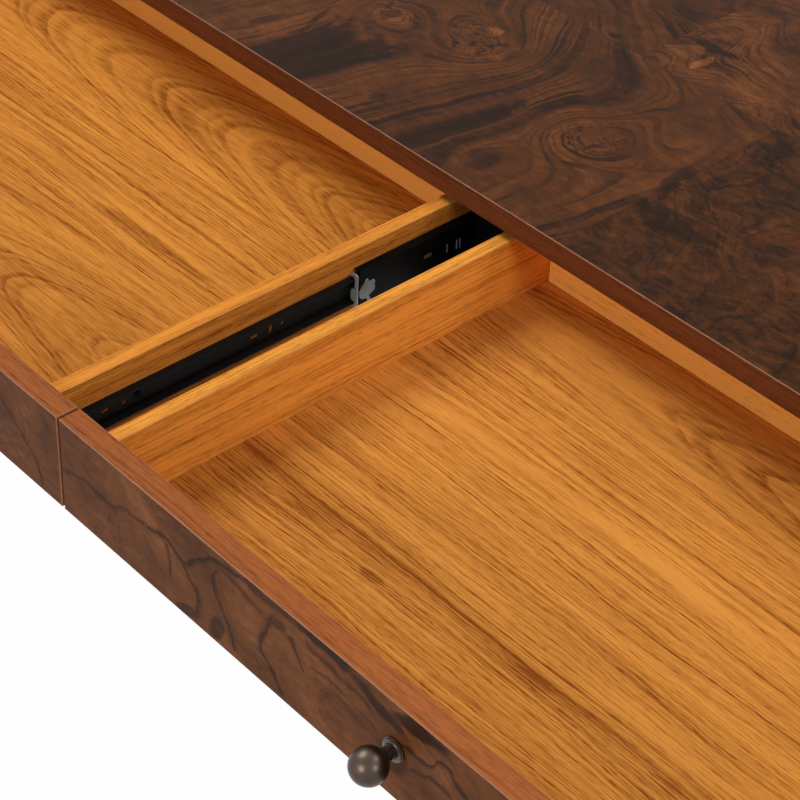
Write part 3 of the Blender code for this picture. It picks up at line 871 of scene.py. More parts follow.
@dataclass(frozen=True)
class Walnut:
    """Straight-grained satin walnut, as on the edges of the veneered pieces."""

    name: str
    axis: Axis
    seed: float = 0.0
    light: Colour = (0.36, 0.112, 0.036)
    dark: Colour = (0.115, 0.033, 0.013)
    # edge and its share are a painted highlight along the eased edges.
    edge: Colour = (0.44, 0.235, 0.16)
    edge_share: float = 0.7

    # How much each part of the grain darkens the wood.
    FIBRE_SHARE, PORE_SHARE, RING_SHARE, TONE_RANGE = 0.42, 0.24, 0.24, (-0.34, 0.38)
    WAVINESS, DENSITY = 0.6, 170.0
    GLOSS_RANGE, RELIEF = (0.36, 0.52), 0.00005

    def colour(self, graph: Graph, effects: SharedEffects) -> tuple[Socket, Socket]:
        """Write the walnut's colour into a graph.

        Args:
            graph: the graph to write into.
            effects: the shared groups.

        Returns:
            The colour and the fibres' value.
        """
        place, normal = graph.surface()
        parts = graph.split(place)
        along, across, depth = (parts[index] for index in self.axis.value)
        ring = graph.math("ADD", across, graph.math("MULTIPLY", depth, RING_TILT))
        rings = graph.use(effects.rings, Along=along, Across=across, Depth=depth, Ring=ring,
                          Waviness=self.WAVINESS, Density=self.DENSITY, Seed=self.seed)
        fibres = graph.use(effects.fibres, Along=along, Across=across, Depth=depth, Seed=self.seed)
        share = graph.math("MULTIPLY", rings["Porous"], self.RING_SHARE)
        share = graph.math("MULTIPLY_ADD", fibres["Fibre"], self.FIBRE_SHARE, share)
        share = graph.math("MULTIPLY_ADD", fibres["Pore"], self.PORE_SHARE, share)
        share = graph.math("ADD", share, graph.scale(fibres["Tone"], *self.TONE_RANGE), clamp=True)
        wood = graph.mix(share, self.light, self.dark)
        # Painted highlight: the eased edges take the lighter edge colour.
        edge = graph.use(effects.arris, Normal=normal, Place=place)["Edge"]
        return graph.mix(graph.math("MULTIPLY", edge, self.edge_share), wood, self.edge), fibres["Fibre"]

    def make(self, effects: SharedEffects) -> bpy.types.Material:
        """Return the finished material.

        Args:
            effects: the shared groups.

        Returns:
            The material.
        """
        graph, shader, material = new_material(self.name, Specular_IOR_Level=0.05)
        colour, fibre = self.colour(graph, effects)
        graph.feed(shader.inputs["Base Color"], colour)
        graph.feed(shader.inputs["Roughness"], graph.scale(fibre, *self.GLOSS_RANGE))
        bump(graph, shader, fibre, self.RELIEF)
        return material


@dataclass(frozen=True)
class Board:
    """One strip of flat-sawn veneer: where it starts across the grain, and its nested arches."""

    start: float | None = None
    middle: float | None = None
    spread: float = 7.0
    slope: float = 0.15
    drift: float = 0.0
    seed: float = 0.0
    density: float = 200.0
    lines: float = 0.75
    wave: float = 0.7

    def ring(self, graph: Graph, along: Socket, across: Socket) -> Socket:
        """Return the distance across the board's growth rings.

        Args:
            graph: the graph to write into.
            along: the place along the grain.
            across: the place across it.

        Returns:
            The distance's socket.
        """
        if self.middle is None:
            return graph.math("MULTIPLY_ADD", along, self.drift, across)
        aside = graph.math("SUBTRACT", across, self.middle)
        level = graph.math("MULTIPLY", graph.math("MULTIPLY", aside, aside), self.spread)
        return graph.math("MULTIPLY_ADD", along, -self.slope, level)


@dataclass(frozen=True)
class Oak:
    """Orange-toned satin oak with its ring lines, pores and flecks."""

    name: str
    axis: Axis
    seed: float = 0.0
    boards: tuple[Board, ...] = (Board(),)
    patches: tuple[Patch, ...] = ()
    light: Colour = (0.76, 0.295, 0.047)
    dark: Colour = (0.26, 0.064, 0.007)
    shade: float = 0.12
    # The face that gets painted shade, for the shade in the gap between the drawers.
    darker_face: Vector | None = None

    # A painted highlight along the eased edges: its colour and share.
    EDGE_COLOUR, EDGE_SHARE = (0.86, 0.42, 0.13), 0.40
    # How much each part of the grain darkens the wood, how much painted shade darkens one face, and how far
    # each part swings the tone either way.
    PORE_SHARE, DASH_SHARE, PLAIN_DASH, DARKER_SHARE = 0.20, 0.30, 0.66, 0.32
    FIBRE_SWING, STREAK_SWING, BROAD_SWING, TONE_SWING = 0.52, 0.56, 0.35, 0.30
    RAGGED_SCALE, RAGGED_SWING = 60.0, 0.7
    GLOSS_RANGE, PORE_DEPTH, RELIEF = (0.40, 0.58), -0.6, 0.00006

    def make(self, effects: SharedEffects) -> bpy.types.Material:
        """Return the finished material.

        Args:
            effects: the shared groups.

        Returns:
            The material.
        """
        graph, shader, material = new_material(self.name, Specular_IOR_Level=0.03)
        place, normal = graph.surface()
        parts = graph.split(place)
        along, across, depth = (parts[index] for index in self.axis.value)
        first, *others = self.boards
        ring: Value = first.ring(graph, along, across)
        density, lines, wave, seed = first.density, first.lines, first.wave, self.seed
        for board in others:
            inside = graph.math("GREATER_THAN", across, board.start)
            ring = graph.blend(inside, ring, board.ring(graph, along, across))
            density = graph.blend(inside, density, board.density)
            lines = graph.blend(inside, lines, board.lines)
            wave = graph.blend(inside, wave, board.wave)
            seed = graph.blend(inside, seed, self.seed + board.seed)
        ring = graph.math("MULTIPLY_ADD", depth, RING_TILT, ring)
        rings = graph.use(effects.rings, Along=along, Across=across, Depth=depth, Ring=ring,
                          Waviness=wave, Density=density, Seed=seed)
        fibres = graph.use(effects.fibres, Along=along, Across=rings["Warped"], Depth=depth, Seed=seed)
        dashes = graph.math("MULTIPLY_ADD", fibres["Pore"], self.DASH_SHARE, self.PLAIN_DASH)
        share = graph.math("MULTIPLY", graph.math("MULTIPLY", rings["Porous"], dashes), lines)
        share = graph.math("MULTIPLY_ADD", fibres["Pore"], self.PORE_SHARE, share)
        for part, swing, rise in ((fibres["Fibre"], self.FIBRE_SWING, 0.0),
                                  (fibres["Streak"], self.STREAK_SWING, 0.0),
                                  (rings["Broad"], self.BROAD_SWING, 0.0),
                                  (fibres["Tone"], self.TONE_SWING, self.shade)):
            share = graph.math("ADD", share, graph.scale(part, rise - swing, rise + swing))
        share = self.patched(graph, effects, place, graph.combine(along, across), share)
        # Painted shade: faces that point this way are darkened.
        if self.darker_face:
            outside = graph.step(graph.dot(normal, tuple(self.darker_face)), 0.90, 0.97)
            share = graph.math("MULTIPLY_ADD", outside, self.DARKER_SHARE, share)
        wood = graph.mix(graph.held(share, 0.0, 1.0), self.light, self.dark)
        # Painted highlight on the eased edges.
        edge = graph.use(effects.arris, Normal=normal, Place=place)["Edge"]
        wood = graph.mix(graph.math("MULTIPLY", edge, self.EDGE_SHARE), wood, self.EDGE_COLOUR)
        graph.feed(shader.inputs["Base Color"], wood)
        graph.feed(shader.inputs["Roughness"], graph.scale(fibres["Fibre"], *self.GLOSS_RANGE))
        relief = graph.math("MULTIPLY_ADD", fibres["Pore"], self.PORE_DEPTH, fibres["Fibre"])
        bump(graph, shader, relief, self.RELIEF)
        return material

    def patched(self, graph: Graph, effects: SharedEffects, place: Socket, flat: Socket,
                share: Socket) -> Socket:
        """Add the oak's patches to how dark it is.

        Args:
            graph: the material's graph.
            effects: the shared groups.
            place: the place on the piece.
            flat: the place along and across the grain.
            share: how dark the oak is without patches.

        Returns:
            How dark it is with them.
        """
        if not self.patches:
            return share
        noise = graph.noise(place, self.RAGGED_SCALE, 3.0)
        ragged = graph.scale(noise, -self.RAGGED_SWING, self.RAGGED_SWING)
        for patch in self.patches:
            found = patch.find(graph, effects, flat, ragged)[patch.output]
            share = graph.math("MULTIPLY_ADD", found, patch.strength, share)
        return share


@dataclass(frozen=True)
class Burl:
    """Burl veneer on one face of a piece, with straight-grained walnut on its other faces."""

    name: str
    face: Vector
    across_axis: int
    up_axis: int
    leaves: tuple[Leaf, ...]
    veins: tuple[Vein, ...] = ()
    patches: tuple[Patch, ...] = ()
    drift: float = 0.022
    edging: Walnut = Walnut("edging", Axis.X, light=(0.50, 0.150, 0.044), dark=(0.115, 0.032, 0.012))

    # The noises that bend the flow, slowly and quickly, and the one that frays edges: steps a metre.
    SLOW_SCALE, QUICK_SCALE, RAGGED_SCALE, RAGGED_SWING = 9.0, 42.0, 70.0, 0.7
    # The scatter of small swellings: how many a metre, how random, and how sharply each one falls.
    SCATTER_SCALE, SCATTER_RANDOM, SCATTER_FALL = 7.0, 0.9, -26.0
    ON_FACE, GLOSS_SCALE, GLOSS_RANGE, RELIEF = (0.93, 0.97), 30.0, (0.34, 0.46), 0.00004

    def figure(self, graph: Graph, effects: SharedEffects, place: Socket) -> dict[str, Socket]:
        """Write the figure of all the leaves and return its colour and shade.

        Args:
            graph: the material's graph.
            effects: the shared groups.
            place: the place on the piece.

        Returns:
            The figure group's outputs by name.
        """
        parts = graph.split(place)
        across, up = parts[self.across_axis], parts[self.up_axis]
        masks = [leaf.mask(graph, across, up) for leaf in self.leaves]

        def chosen(values: list[Value]) -> Value:
            """Return the value of the leaf that covers the place.

            Args:
                values: one value for each leaf.

            Returns:
                The value that holds there.
            """
            held = values[0]
            for mask, value in zip(masks[1:], values[1:]):
                held = graph.blend(mask, held, value)
            return held

        flat = graph.combine(across, up, chosen([leaf.seed for leaf in self.leaves]))
        middle = (0.5, 0.5, 0.5)
        slow = graph.vector("SUBTRACT", graph.noise(flat, self.SLOW_SCALE, 1.0, tint=True), middle)
        quick = graph.vector("SUBTRACT", graph.noise(flat, self.QUICK_SCALE, 2.0, tint=True), middle)
        moved = graph.vector("ADD", flat, graph.vector("MULTIPLY", slow, (self.drift, self.drift, 0.0)))
        flutter = chosen([leaf.flutter for leaf in self.leaves])
        moved = graph.vector("ADD", moved, graph.vector("MULTIPLY", quick, graph.combine(flutter, flutter)))
        ragged = graph.noise(moved, self.RAGGED_SCALE, 3.0)
        frayed = graph.scale(ragged, -self.RAGGED_SWING, self.RAGGED_SWING)
        far = graph.cells(moved, self.SCATTER_SCALE, self.SCATTER_RANDOM)
        fall = graph.math("MULTIPLY", graph.math("MULTIPLY", far, far), self.SCATTER_FALL)
        scattered = graph.math("EXPONENT", fall)
        moved_across, moved_up, _ = graph.split(moved)
        flows, cores, darks = [], [], []
        for leaf in self.leaves:
            flow, core = leaf.flow(graph, effects, moved, frayed, scattered)
            flows.append(flow)
            cores.append(core)
            darks.append(leaf.dark(graph, flow, moved_up, ragged))
        dark = chosen(darks)
        for vein in self.veins:
            dark = graph.math("MAXIMUM", vein.mask(graph, moved_across, moved_up, ragged), dark)
        lift = chosen([leaf.lift for leaf in self.leaves])
        for patch in self.patches:
            mask = patch.find(graph, effects, moved, frayed)[patch.output]
            if patch.strength > 0.0:
                dark = graph.math("MAXIMUM", graph.math("MULTIPLY", mask, patch.strength), dark)
            else:
                lift = graph.math("MULTIPLY_ADD", mask, -patch.strength, lift)
        return graph.use(effects.figure, Flow=chosen(flows), Place=moved, Core=chosen(cores), Dark=dark,
                         Lift=lift, Warmth=chosen([leaf.warmth for leaf in self.leaves]),
                         Lines=chosen([leaf.lines for leaf in self.leaves]),
                         Mottle=chosen([leaf.mottle for leaf in self.leaves]))

    def make(self, effects: SharedEffects) -> bpy.types.Material:
        """Return the finished material.

        Args:
            effects: the shared groups.

        Returns:
            The material.
        """
        graph, shader, material = new_material(self.name, Specular_IOR_Level=0.03)
        edging, fibre = self.edging.colour(graph, effects)
        place, normal = graph.surface()
        figure = self.figure(graph, effects, place)
        on_face = graph.step(graph.dot(normal, tuple(self.face)), *self.ON_FACE)
        graph.feed(shader.inputs["Base Color"], graph.mix(on_face, edging, figure["Burl colour"]))
        gloss = graph.scale(graph.noise(place, self.GLOSS_SCALE, 3.0), *self.GLOSS_RANGE)
        graph.feed(shader.inputs["Roughness"], gloss)
        bump(graph, shader, graph.blend(on_face, fibre, figure["Shade"]), self.RELIEF)
        return material


# Where the desktop's sheets of veneer meet, in metres from its middle.
CROSS_SEAM, LEFT_SEAM, MIDDLE_SEAM = 0.1435, -0.064, 0.100
LEFT_END_SEAM, BACK_RIGHT_SEAM, RIGHT_END_SEAM = -0.430, 0.300, 0.440
DESKTOP_LEAVES = (
    Leaf(turn=-12.0, seed=0.0, warmth=0.80, lift=0.0, lines=1.0, mottle=0.42, flutter=0.006,
         eyes=(Eye(-0.264, 0.012, 0.036, 0.034, 0.095, burr=0.9),
               Eye(-0.175, 0.045, 0.050, 0.044, -0.110, burr=1.0),
               Eye(0.002, 0.000, 0.046, 0.044, 0.130, burr=0.85), Eye(0.014, 0.060, 0.026, 0.040, 0.045),
               Eye(-0.032, -0.092, 0.024, 0.034, 0.062), Eye(-0.030, 0.200, 0.150, 0.080, 0.190)),
         bands=(DarkBand(-0.232, 0.039, 0.007, -0.030, 0.84), DarkBand(-0.102, 0.003, 0.002, 0.010, 0.6),
                DarkBand(-0.064, 0.013, 0.008, -0.005, 0.85))),
    Leaf(left=MIDDLE_SEAM, far=CROSS_SEAM, turn=24.0, seed=3.7, warmth=0.45, scatter=0.05, lift=-0.085,
         lines=0.55, mottle=0.85, flutter=0.022,
         eyes=(Eye(0.140, 0.020, 0.040, 0.030, 0.045), Eye(0.215, -0.010, 0.035, 0.045, 0.050))),
    Leaf(left=LEFT_SEAM, near=CROSS_SEAM, turn=84.0, seed=6.1, warmth=0.85, lift=0.06, lines=1.15,
         mottle=0.75, flutter=0.009,
         eyes=(Eye(-0.040, 0.255, 0.028, 0.075, -0.085), Eye(0.012, 0.150, 0.028, 0.050, -0.045),
               Eye(0.065, 0.150, 0.024, 0.050, -0.045, burr=0.3),
               Eye(-0.055, 0.150, 0.022, 0.040, -0.030))),
    Leaf(right=LEFT_SEAM, near=CROSS_SEAM, turn=50.0, seed=9.3, warmth=0.5, scatter=0.02, lift=-0.04,
         lines=0.8, mottle=0.5, flutter=0.010, eyes=(Eye(-0.100, 0.260, 0.030, 0.030, 0.050),)),
    Leaf(left=RIGHT_END_SEAM, far=CROSS_SEAM, turn=-20.0, seed=13.1, warmth=0.5, scatter=0.05, mottle=0.5),
    Leaf(right=LEFT_END_SEAM, far=CROSS_SEAM, turn=15.0, seed=17.9, warmth=0.6, scatter=0.05, mottle=0.5),
    Leaf(left=BACK_RIGHT_SEAM, near=CROSS_SEAM, turn=12.0, seed=21.3, warmth=0.6, scatter=0.06,
         mottle=0.5),
    Leaf(right=LEFT_END_SEAM, near=CROSS_SEAM, turn=-30.0, seed=27.7, warmth=0.4, scatter=0.06,
         mottle=0.5))
DESKTOP_PATCHES = (
    Patch(-0.032, -0.092, 0.014, 0.021, 0.40), Patch(-0.165, -0.100, 0.007, 0.009, 0.4),
    Patch(-0.332, -0.085, 0.006, 0.022, 0.55, -14.0), Patch(-0.178, 0.068, 0.010, 0.008, -0.30),
    Patch(-0.300, -0.055, 0.004, 0.045, 0.50, 18.0), Patch(-0.262, 0.012, 0.010, 0.012, 0.55),
    Patch(0.135, -0.042, 0.040, 0.015, 0.45, -8.0), Patch(0.098, 0.012, 0.010, 0.034, 0.65, 12.0),
    Patch(-0.030, 0.207, 0.034, 0.006, 0.80), Patch(-0.022, 0.178, 0.006, 0.018, -0.32),
    Patch(-0.045, 0.245, 0.018, 0.035, -0.15, soft=True),
    Patch(0.093, 0.118, 0.016, 0.010, -0.18, soft=True),
    Patch(0.068, 0.066, 0.012, 0.014, -0.16, soft=True),
    Patch(0.145, 0.048, 0.010, 0.016, -0.12, soft=True),
    Patch(-0.085, 0.232, 0.022, 0.012, 0.40, -40.0, soft=True), Patch(-0.110, 0.150, 0.007, 0.005, 0.7),
    Patch(0.030, -0.042, 0.012, 0.004, 0.6, 25.0), Patch(-0.330, -0.070, 0.070, 0.090, -0.10, soft=True),
    Patch(-0.060, 0.095, 0.120, 0.035, 0.14, soft=True),
    Patch(0.030, 0.175, 0.060, 0.018, -0.18, soft=True))
FRONT_FACE = Vector((0.0, -1.0, 0.0))
RIGHT_FRONT = Burl(
    "right_drawer_front_burl", FRONT_FACE, 0, 2, drift=0.010,
    leaves=(Leaf(turn=55.0, seed=2.0, warmth=0.9, lift=0.18, lines=0.50, mottle=0.55, scatter=0.03,
                 flutter=0.011,
                 eyes=(Eye(0.315, 0.668, 0.028, 0.024, 0.060, burr=0.4),
                       Eye(0.070, 0.665, 0.060, 0.016, 0.020, burr=0.5),
                       Eye(0.215, 0.690, 0.025, 0.030, 0.030), Eye(0.160, 0.640, 0.020, 0.020, 0.030))),),
    veins=(Vein(((0.0, 0.689), (0.02, 0.692), (0.035, 0.695), (0.06, 0.692), (0.085, 0.701),
                 (0.11, 0.703)), 0.0022, 0.60, shadow=0.006),
           Vein(((0.105, 0.702), (0.115, 0.704), (0.13, 0.708), (0.14, 0.703), (0.15, 0.700),
                 (0.17, 0.718), (0.19, 0.728), (0.22, 0.733)), 0.0042, 0.85, shadow=0.007),
           Vein(((0.148, 0.700), (0.154, 0.690), (0.162, 0.680), (0.165, 0.655)), 0.0038, 0.80, True,
                -0.008),
           Vein(((0.130, 0.705), (0.135, 0.690), (0.137, 0.672)), 0.0026, 0.65, True, 0.005),
           Vein(((0.191, 0.722), (0.182, 0.700), (0.193, 0.685), (0.203, 0.667), (0.206, 0.650)), 0.0024,
                0.75, True, -0.006),
           Vein(((0.252, 0.726), (0.243, 0.703), (0.238, 0.687), (0.250, 0.668), (0.264, 0.648)), 0.0034,
                0.80, True, 0.007),
           Vein(((0.266, 0.718), (0.273, 0.705), (0.283, 0.690)), 0.0040, 0.65, True, 0.007),
           Vein(((0.285, 0.700), (0.300, 0.705), (0.325, 0.704), (0.348, 0.700), (0.362, 0.690)), 0.0022,
                0.50),
           Vein(((0.280, 0.722), (0.300, 0.717), (0.325, 0.717), (0.350, 0.712)), 0.0030, 0.55,
                shadow=-0.005),
           Vein(((0.285, 0.690), (0.305, 0.696), (0.330, 0.694), (0.345, 0.684)), 0.0020, 0.45),
           Vein(((0.372, 0.698), (0.390, 0.707), (0.405, 0.705), (0.420, 0.719), (0.432, 0.712),
                 (0.455, 0.703)), 0.0036, 0.75, shadow=0.005),
           Vein(((0.385, 0.688), (0.400, 0.693), (0.415, 0.697), (0.440, 0.692), (0.470, 0.680)), 0.0030,
                0.65, shadow=0.005)),
    patches=(Patch(0.330, 0.695, 0.100, 0.050, -0.07, soft=True),
             Patch(0.045, 0.720, 0.060, 0.018, -0.08, soft=True), Patch(0.300, 0.731, 0.034, 0.006, 0.80),
             Patch(0.355, 0.722, 0.032, 0.006, 0.75, -16.0), Patch(0.397, 0.729, 0.026, 0.007, 0.80, 8.0),
             Patch(0.153, 0.652, 0.016, 0.006, 0.60, 25.0),
             Patch(0.186, 0.660, 0.008, 0.015, 0.65, -25.0),
             Patch(0.252, 0.717, 0.012, 0.005, 0.55, 20.0),
             Patch(0.330, 0.690, 0.045, 0.008, 0.30, soft=True),
             Patch(0.205, 0.722, 0.034, 0.004, 0.45, -8.0), Patch(0.240, 0.733, 0.045, 0.004, 0.55),
             Patch(0.110, 0.672, 0.014, 0.010, 0.35, soft=True),
             Patch(0.030, 0.680, 0.010, 0.008, 0.30, soft=True)))
LEFT_FRONT = Burl(
    "left_drawer_front_burl", FRONT_FACE, 0, 2, drift=0.012,
    leaves=(Leaf(turn=40.0, seed=4.0, warmth=0.85, lift=0.15, lines=0.55, mottle=0.55, scatter=0.05,
                 flutter=0.010, eyes=(Eye(-0.075, 0.665, 0.035, 0.020, 0.040, burr=0.5),)),),
    veins=(Vein(((-0.062, 0.694), (-0.045, 0.680), (-0.035, 0.670), (-0.029, 0.648)), 0.0030, 0.65, True,
                0.006),
           Vein(((-0.100, 0.712), (-0.080, 0.705), (-0.062, 0.694)), 0.0026, 0.6, shadow=0.005)),
    patches=(Patch(-0.015, 0.722, 0.014, 0.018, 0.30, soft=True),
             Patch(-0.045, 0.715, 0.020, 0.018, -0.10, soft=True)))
LEFT_FLOOR = Oak(
    "left_drawer_floor_oak", Axis.X, 31.0, shade=0.15,
    boards=(Board(middle=-0.440, spread=6.5, slope=0.11, density=280.0, lines=0.54, wave=0.5),
            Board(start=-0.350, drift=0.004, seed=7.0, density=210.0, lines=0.80, wave=0.8),
            Board(start=-0.215, middle=-0.140, spread=6.8, slope=0.13, seed=13.0, density=230.0,
                  lines=0.58, wave=0.35)),
    patches=(Patch(-0.215, -0.313, 0.085, 0.0085, 0.40), Patch(-0.45, -0.196, 0.05, 0.004, 0.15),
             Patch(-0.35, -0.12, 0.14, 0.02, 0.08, soft=True)))
RIGHT_FLOOR = Oak(
    "right_drawer_floor_oak", Axis.X, 37.0, light=(0.79, 0.312, 0.055), shade=0.14,
    boards=(Board(drift=0.0, density=250.0, lines=0.68, wave=0.75),
            Board(start=-0.350, drift=0.012, seed=5.0, density=190.0, lines=0.66, wave=0.7),
            Board(start=-0.200, middle=-0.130, spread=5.0, slope=0.045, seed=11.0, density=260.0,
                  lines=0.68, wave=0.3)),
    # The first two soft patches are painted shade: the inboard side's shadow on the floor, near the front and
    # further back.
    patches=(Patch(0.070, -0.500, 0.060, 0.045, 0.16, soft=True),
             Patch(0.030, -0.180, 0.075, 0.090, 0.20, soft=True),
             Patch(0.135, -0.438, 0.030, 0.010, 0.34, soft=True),
             Patch(0.222, -0.447, 0.014, 0.005, 0.36), Patch(0.370, -0.430, 0.024, 0.006, 0.30),
             Patch(0.385, -0.410, 0.022, 0.005, 0.22), Patch(0.500, -0.430, 0.020, 0.006, 0.26),
             Patch(0.370, -0.268, 0.080, 0.012, -0.22, soft=True),
             Patch(0.135, -0.125, 0.055, 0.012, -0.20, soft=True)))
DESKTOP_BURL = Burl(
    "desktop_burl", Vector((0.0, 0.0, 1.0)), 0, 1, DESKTOP_LEAVES, patches=DESKTOP_PATCHES,
    edging=Walnut("desktop_edging", Axis.X, 3.0, light=(0.20, 0.059, 0.019), dark=(0.064, 0.018, 0.007),
                  edge_share=0.6))


@dataclass(frozen=True)
class HardFinish:
    """A painted, plated or moulded finish: its roughness runs from the first number to the second."""

    name: str
    colour: Colour
    rubbed: Colour
    roughness: tuple[float, float]
    metallic: float = 0.0
    specular: float = 0.5
    worn_edges: bool = False

    # How much rubbing, specks, scratches and worn edges bring out the rubbed colour.
    RUB_SHARE, SPECK_SHARE, SCRATCH_SHARE, EDGE_SHARE = 0.55, 0.12, 0.25, 0.4
    RELIEF = 0.00003

    def make(self, effects: SharedEffects) -> bpy.types.Material:
        """Return the finished material.

        Args:
            effects: the shared groups.

        Returns:
            The material.
        """
        graph, shader, material = new_material(self.name, Metallic=self.metallic,
                                               Specular_IOR_Level=self.specular)
        place, normal = graph.surface()
        dust = graph.use(effects.dust, Place=place)
        share = graph.math("MULTIPLY", graph.step(dust["Rub"], 0.42, 0.78), self.RUB_SHARE)
        share = graph.math("MULTIPLY_ADD", dust["Speck"], self.SPECK_SHARE, share)
        share = graph.math("MULTIPLY_ADD", dust["Scratch"], self.SCRATCH_SHARE, share)
        if self.worn_edges:
            edge = graph.use(effects.arris, Normal=normal, Place=place)["Edge"]
            share = graph.math("MULTIPLY_ADD", edge, self.EDGE_SHARE, share)
        colour = graph.mix(graph.math("MINIMUM", share, 1.0), self.colour, self.rubbed)
        graph.feed(shader.inputs["Base Color"], colour)
        graph.feed(shader.inputs["Roughness"], graph.scale(dust["Rub"], *self.roughness))
        bump(graph, shader, dust["Rub"], self.RELIEF)
        return material


PANEL_WALNUT = Walnut("case_walnut_deep", Axis.Y, 7.0)
RAIL_WALNUT = Walnut("case_walnut_wide", Axis.X, 9.0)
LEG_WALNUT = Walnut("leg_walnut", Axis.Z, 11.0)
# Near-black and almost unreflective: a black finish made darker still as painted shade, for the deep shade
# between the drawers under the desktop.
DIVIDER_BLACK = HardFinish("divider_black", (0.0015, 0.0014, 0.0013), (0.004, 0.004, 0.0035), (0.5, 0.7),
                           specular=0.02)
PLATE_BLACK = HardFinish("leg_plate_black", (0.02, 0.02, 0.021), (0.06, 0.06, 0.062), (0.35, 0.5), 0.5,
                         worn_edges=True)
GLIDE_BLACK = HardFinish("glide_plastic", (0.03, 0.03, 0.032), (0.06, 0.06, 0.06), (0.5, 0.7))
BALL_METAL = HardFinish("ball_gunmetal", (0.080, 0.057, 0.043), (0.120, 0.088, 0.066), (0.33, 0.42), 1.0)
COLLAR_METAL = HardFinish("collar_gunmetal", (0.105, 0.079, 0.062), (0.205, 0.163, 0.133), (0.24, 0.34), 1.0,
                          worn_edges=True)
SCREW_ZINC = HardFinish("screw_zinc", (0.60, 0.58, 0.54), (0.42, 0.40, 0.37), (0.25, 0.42), 1.0)
SLIDE_BLACK = HardFinish("slide_black", (0.0030, 0.0027, 0.0025), (0.008, 0.007, 0.006), (0.34, 0.50),
                         specular=0.05)
# The drawer member is a lighter copy of the black slide steel: painted sheen, for the light that its web
# catches.
WEB_GREY = HardFinish("slide_web_grey", (0.0085, 0.0078, 0.0072), (0.016, 0.014, 0.012), (0.42, 0.60),
                      specular=0.07)
STOP_ZINC = HardFinish("stop_zinc", (0.34, 0.34, 0.32), (0.22, 0.22, 0.21), (0.32, 0.48), 0.45)
LATCH_ZINC = HardFinish("latch_zinc", (0.27, 0.285, 0.265), (0.16, 0.165, 0.155), (0.50, 0.66), 0.8)


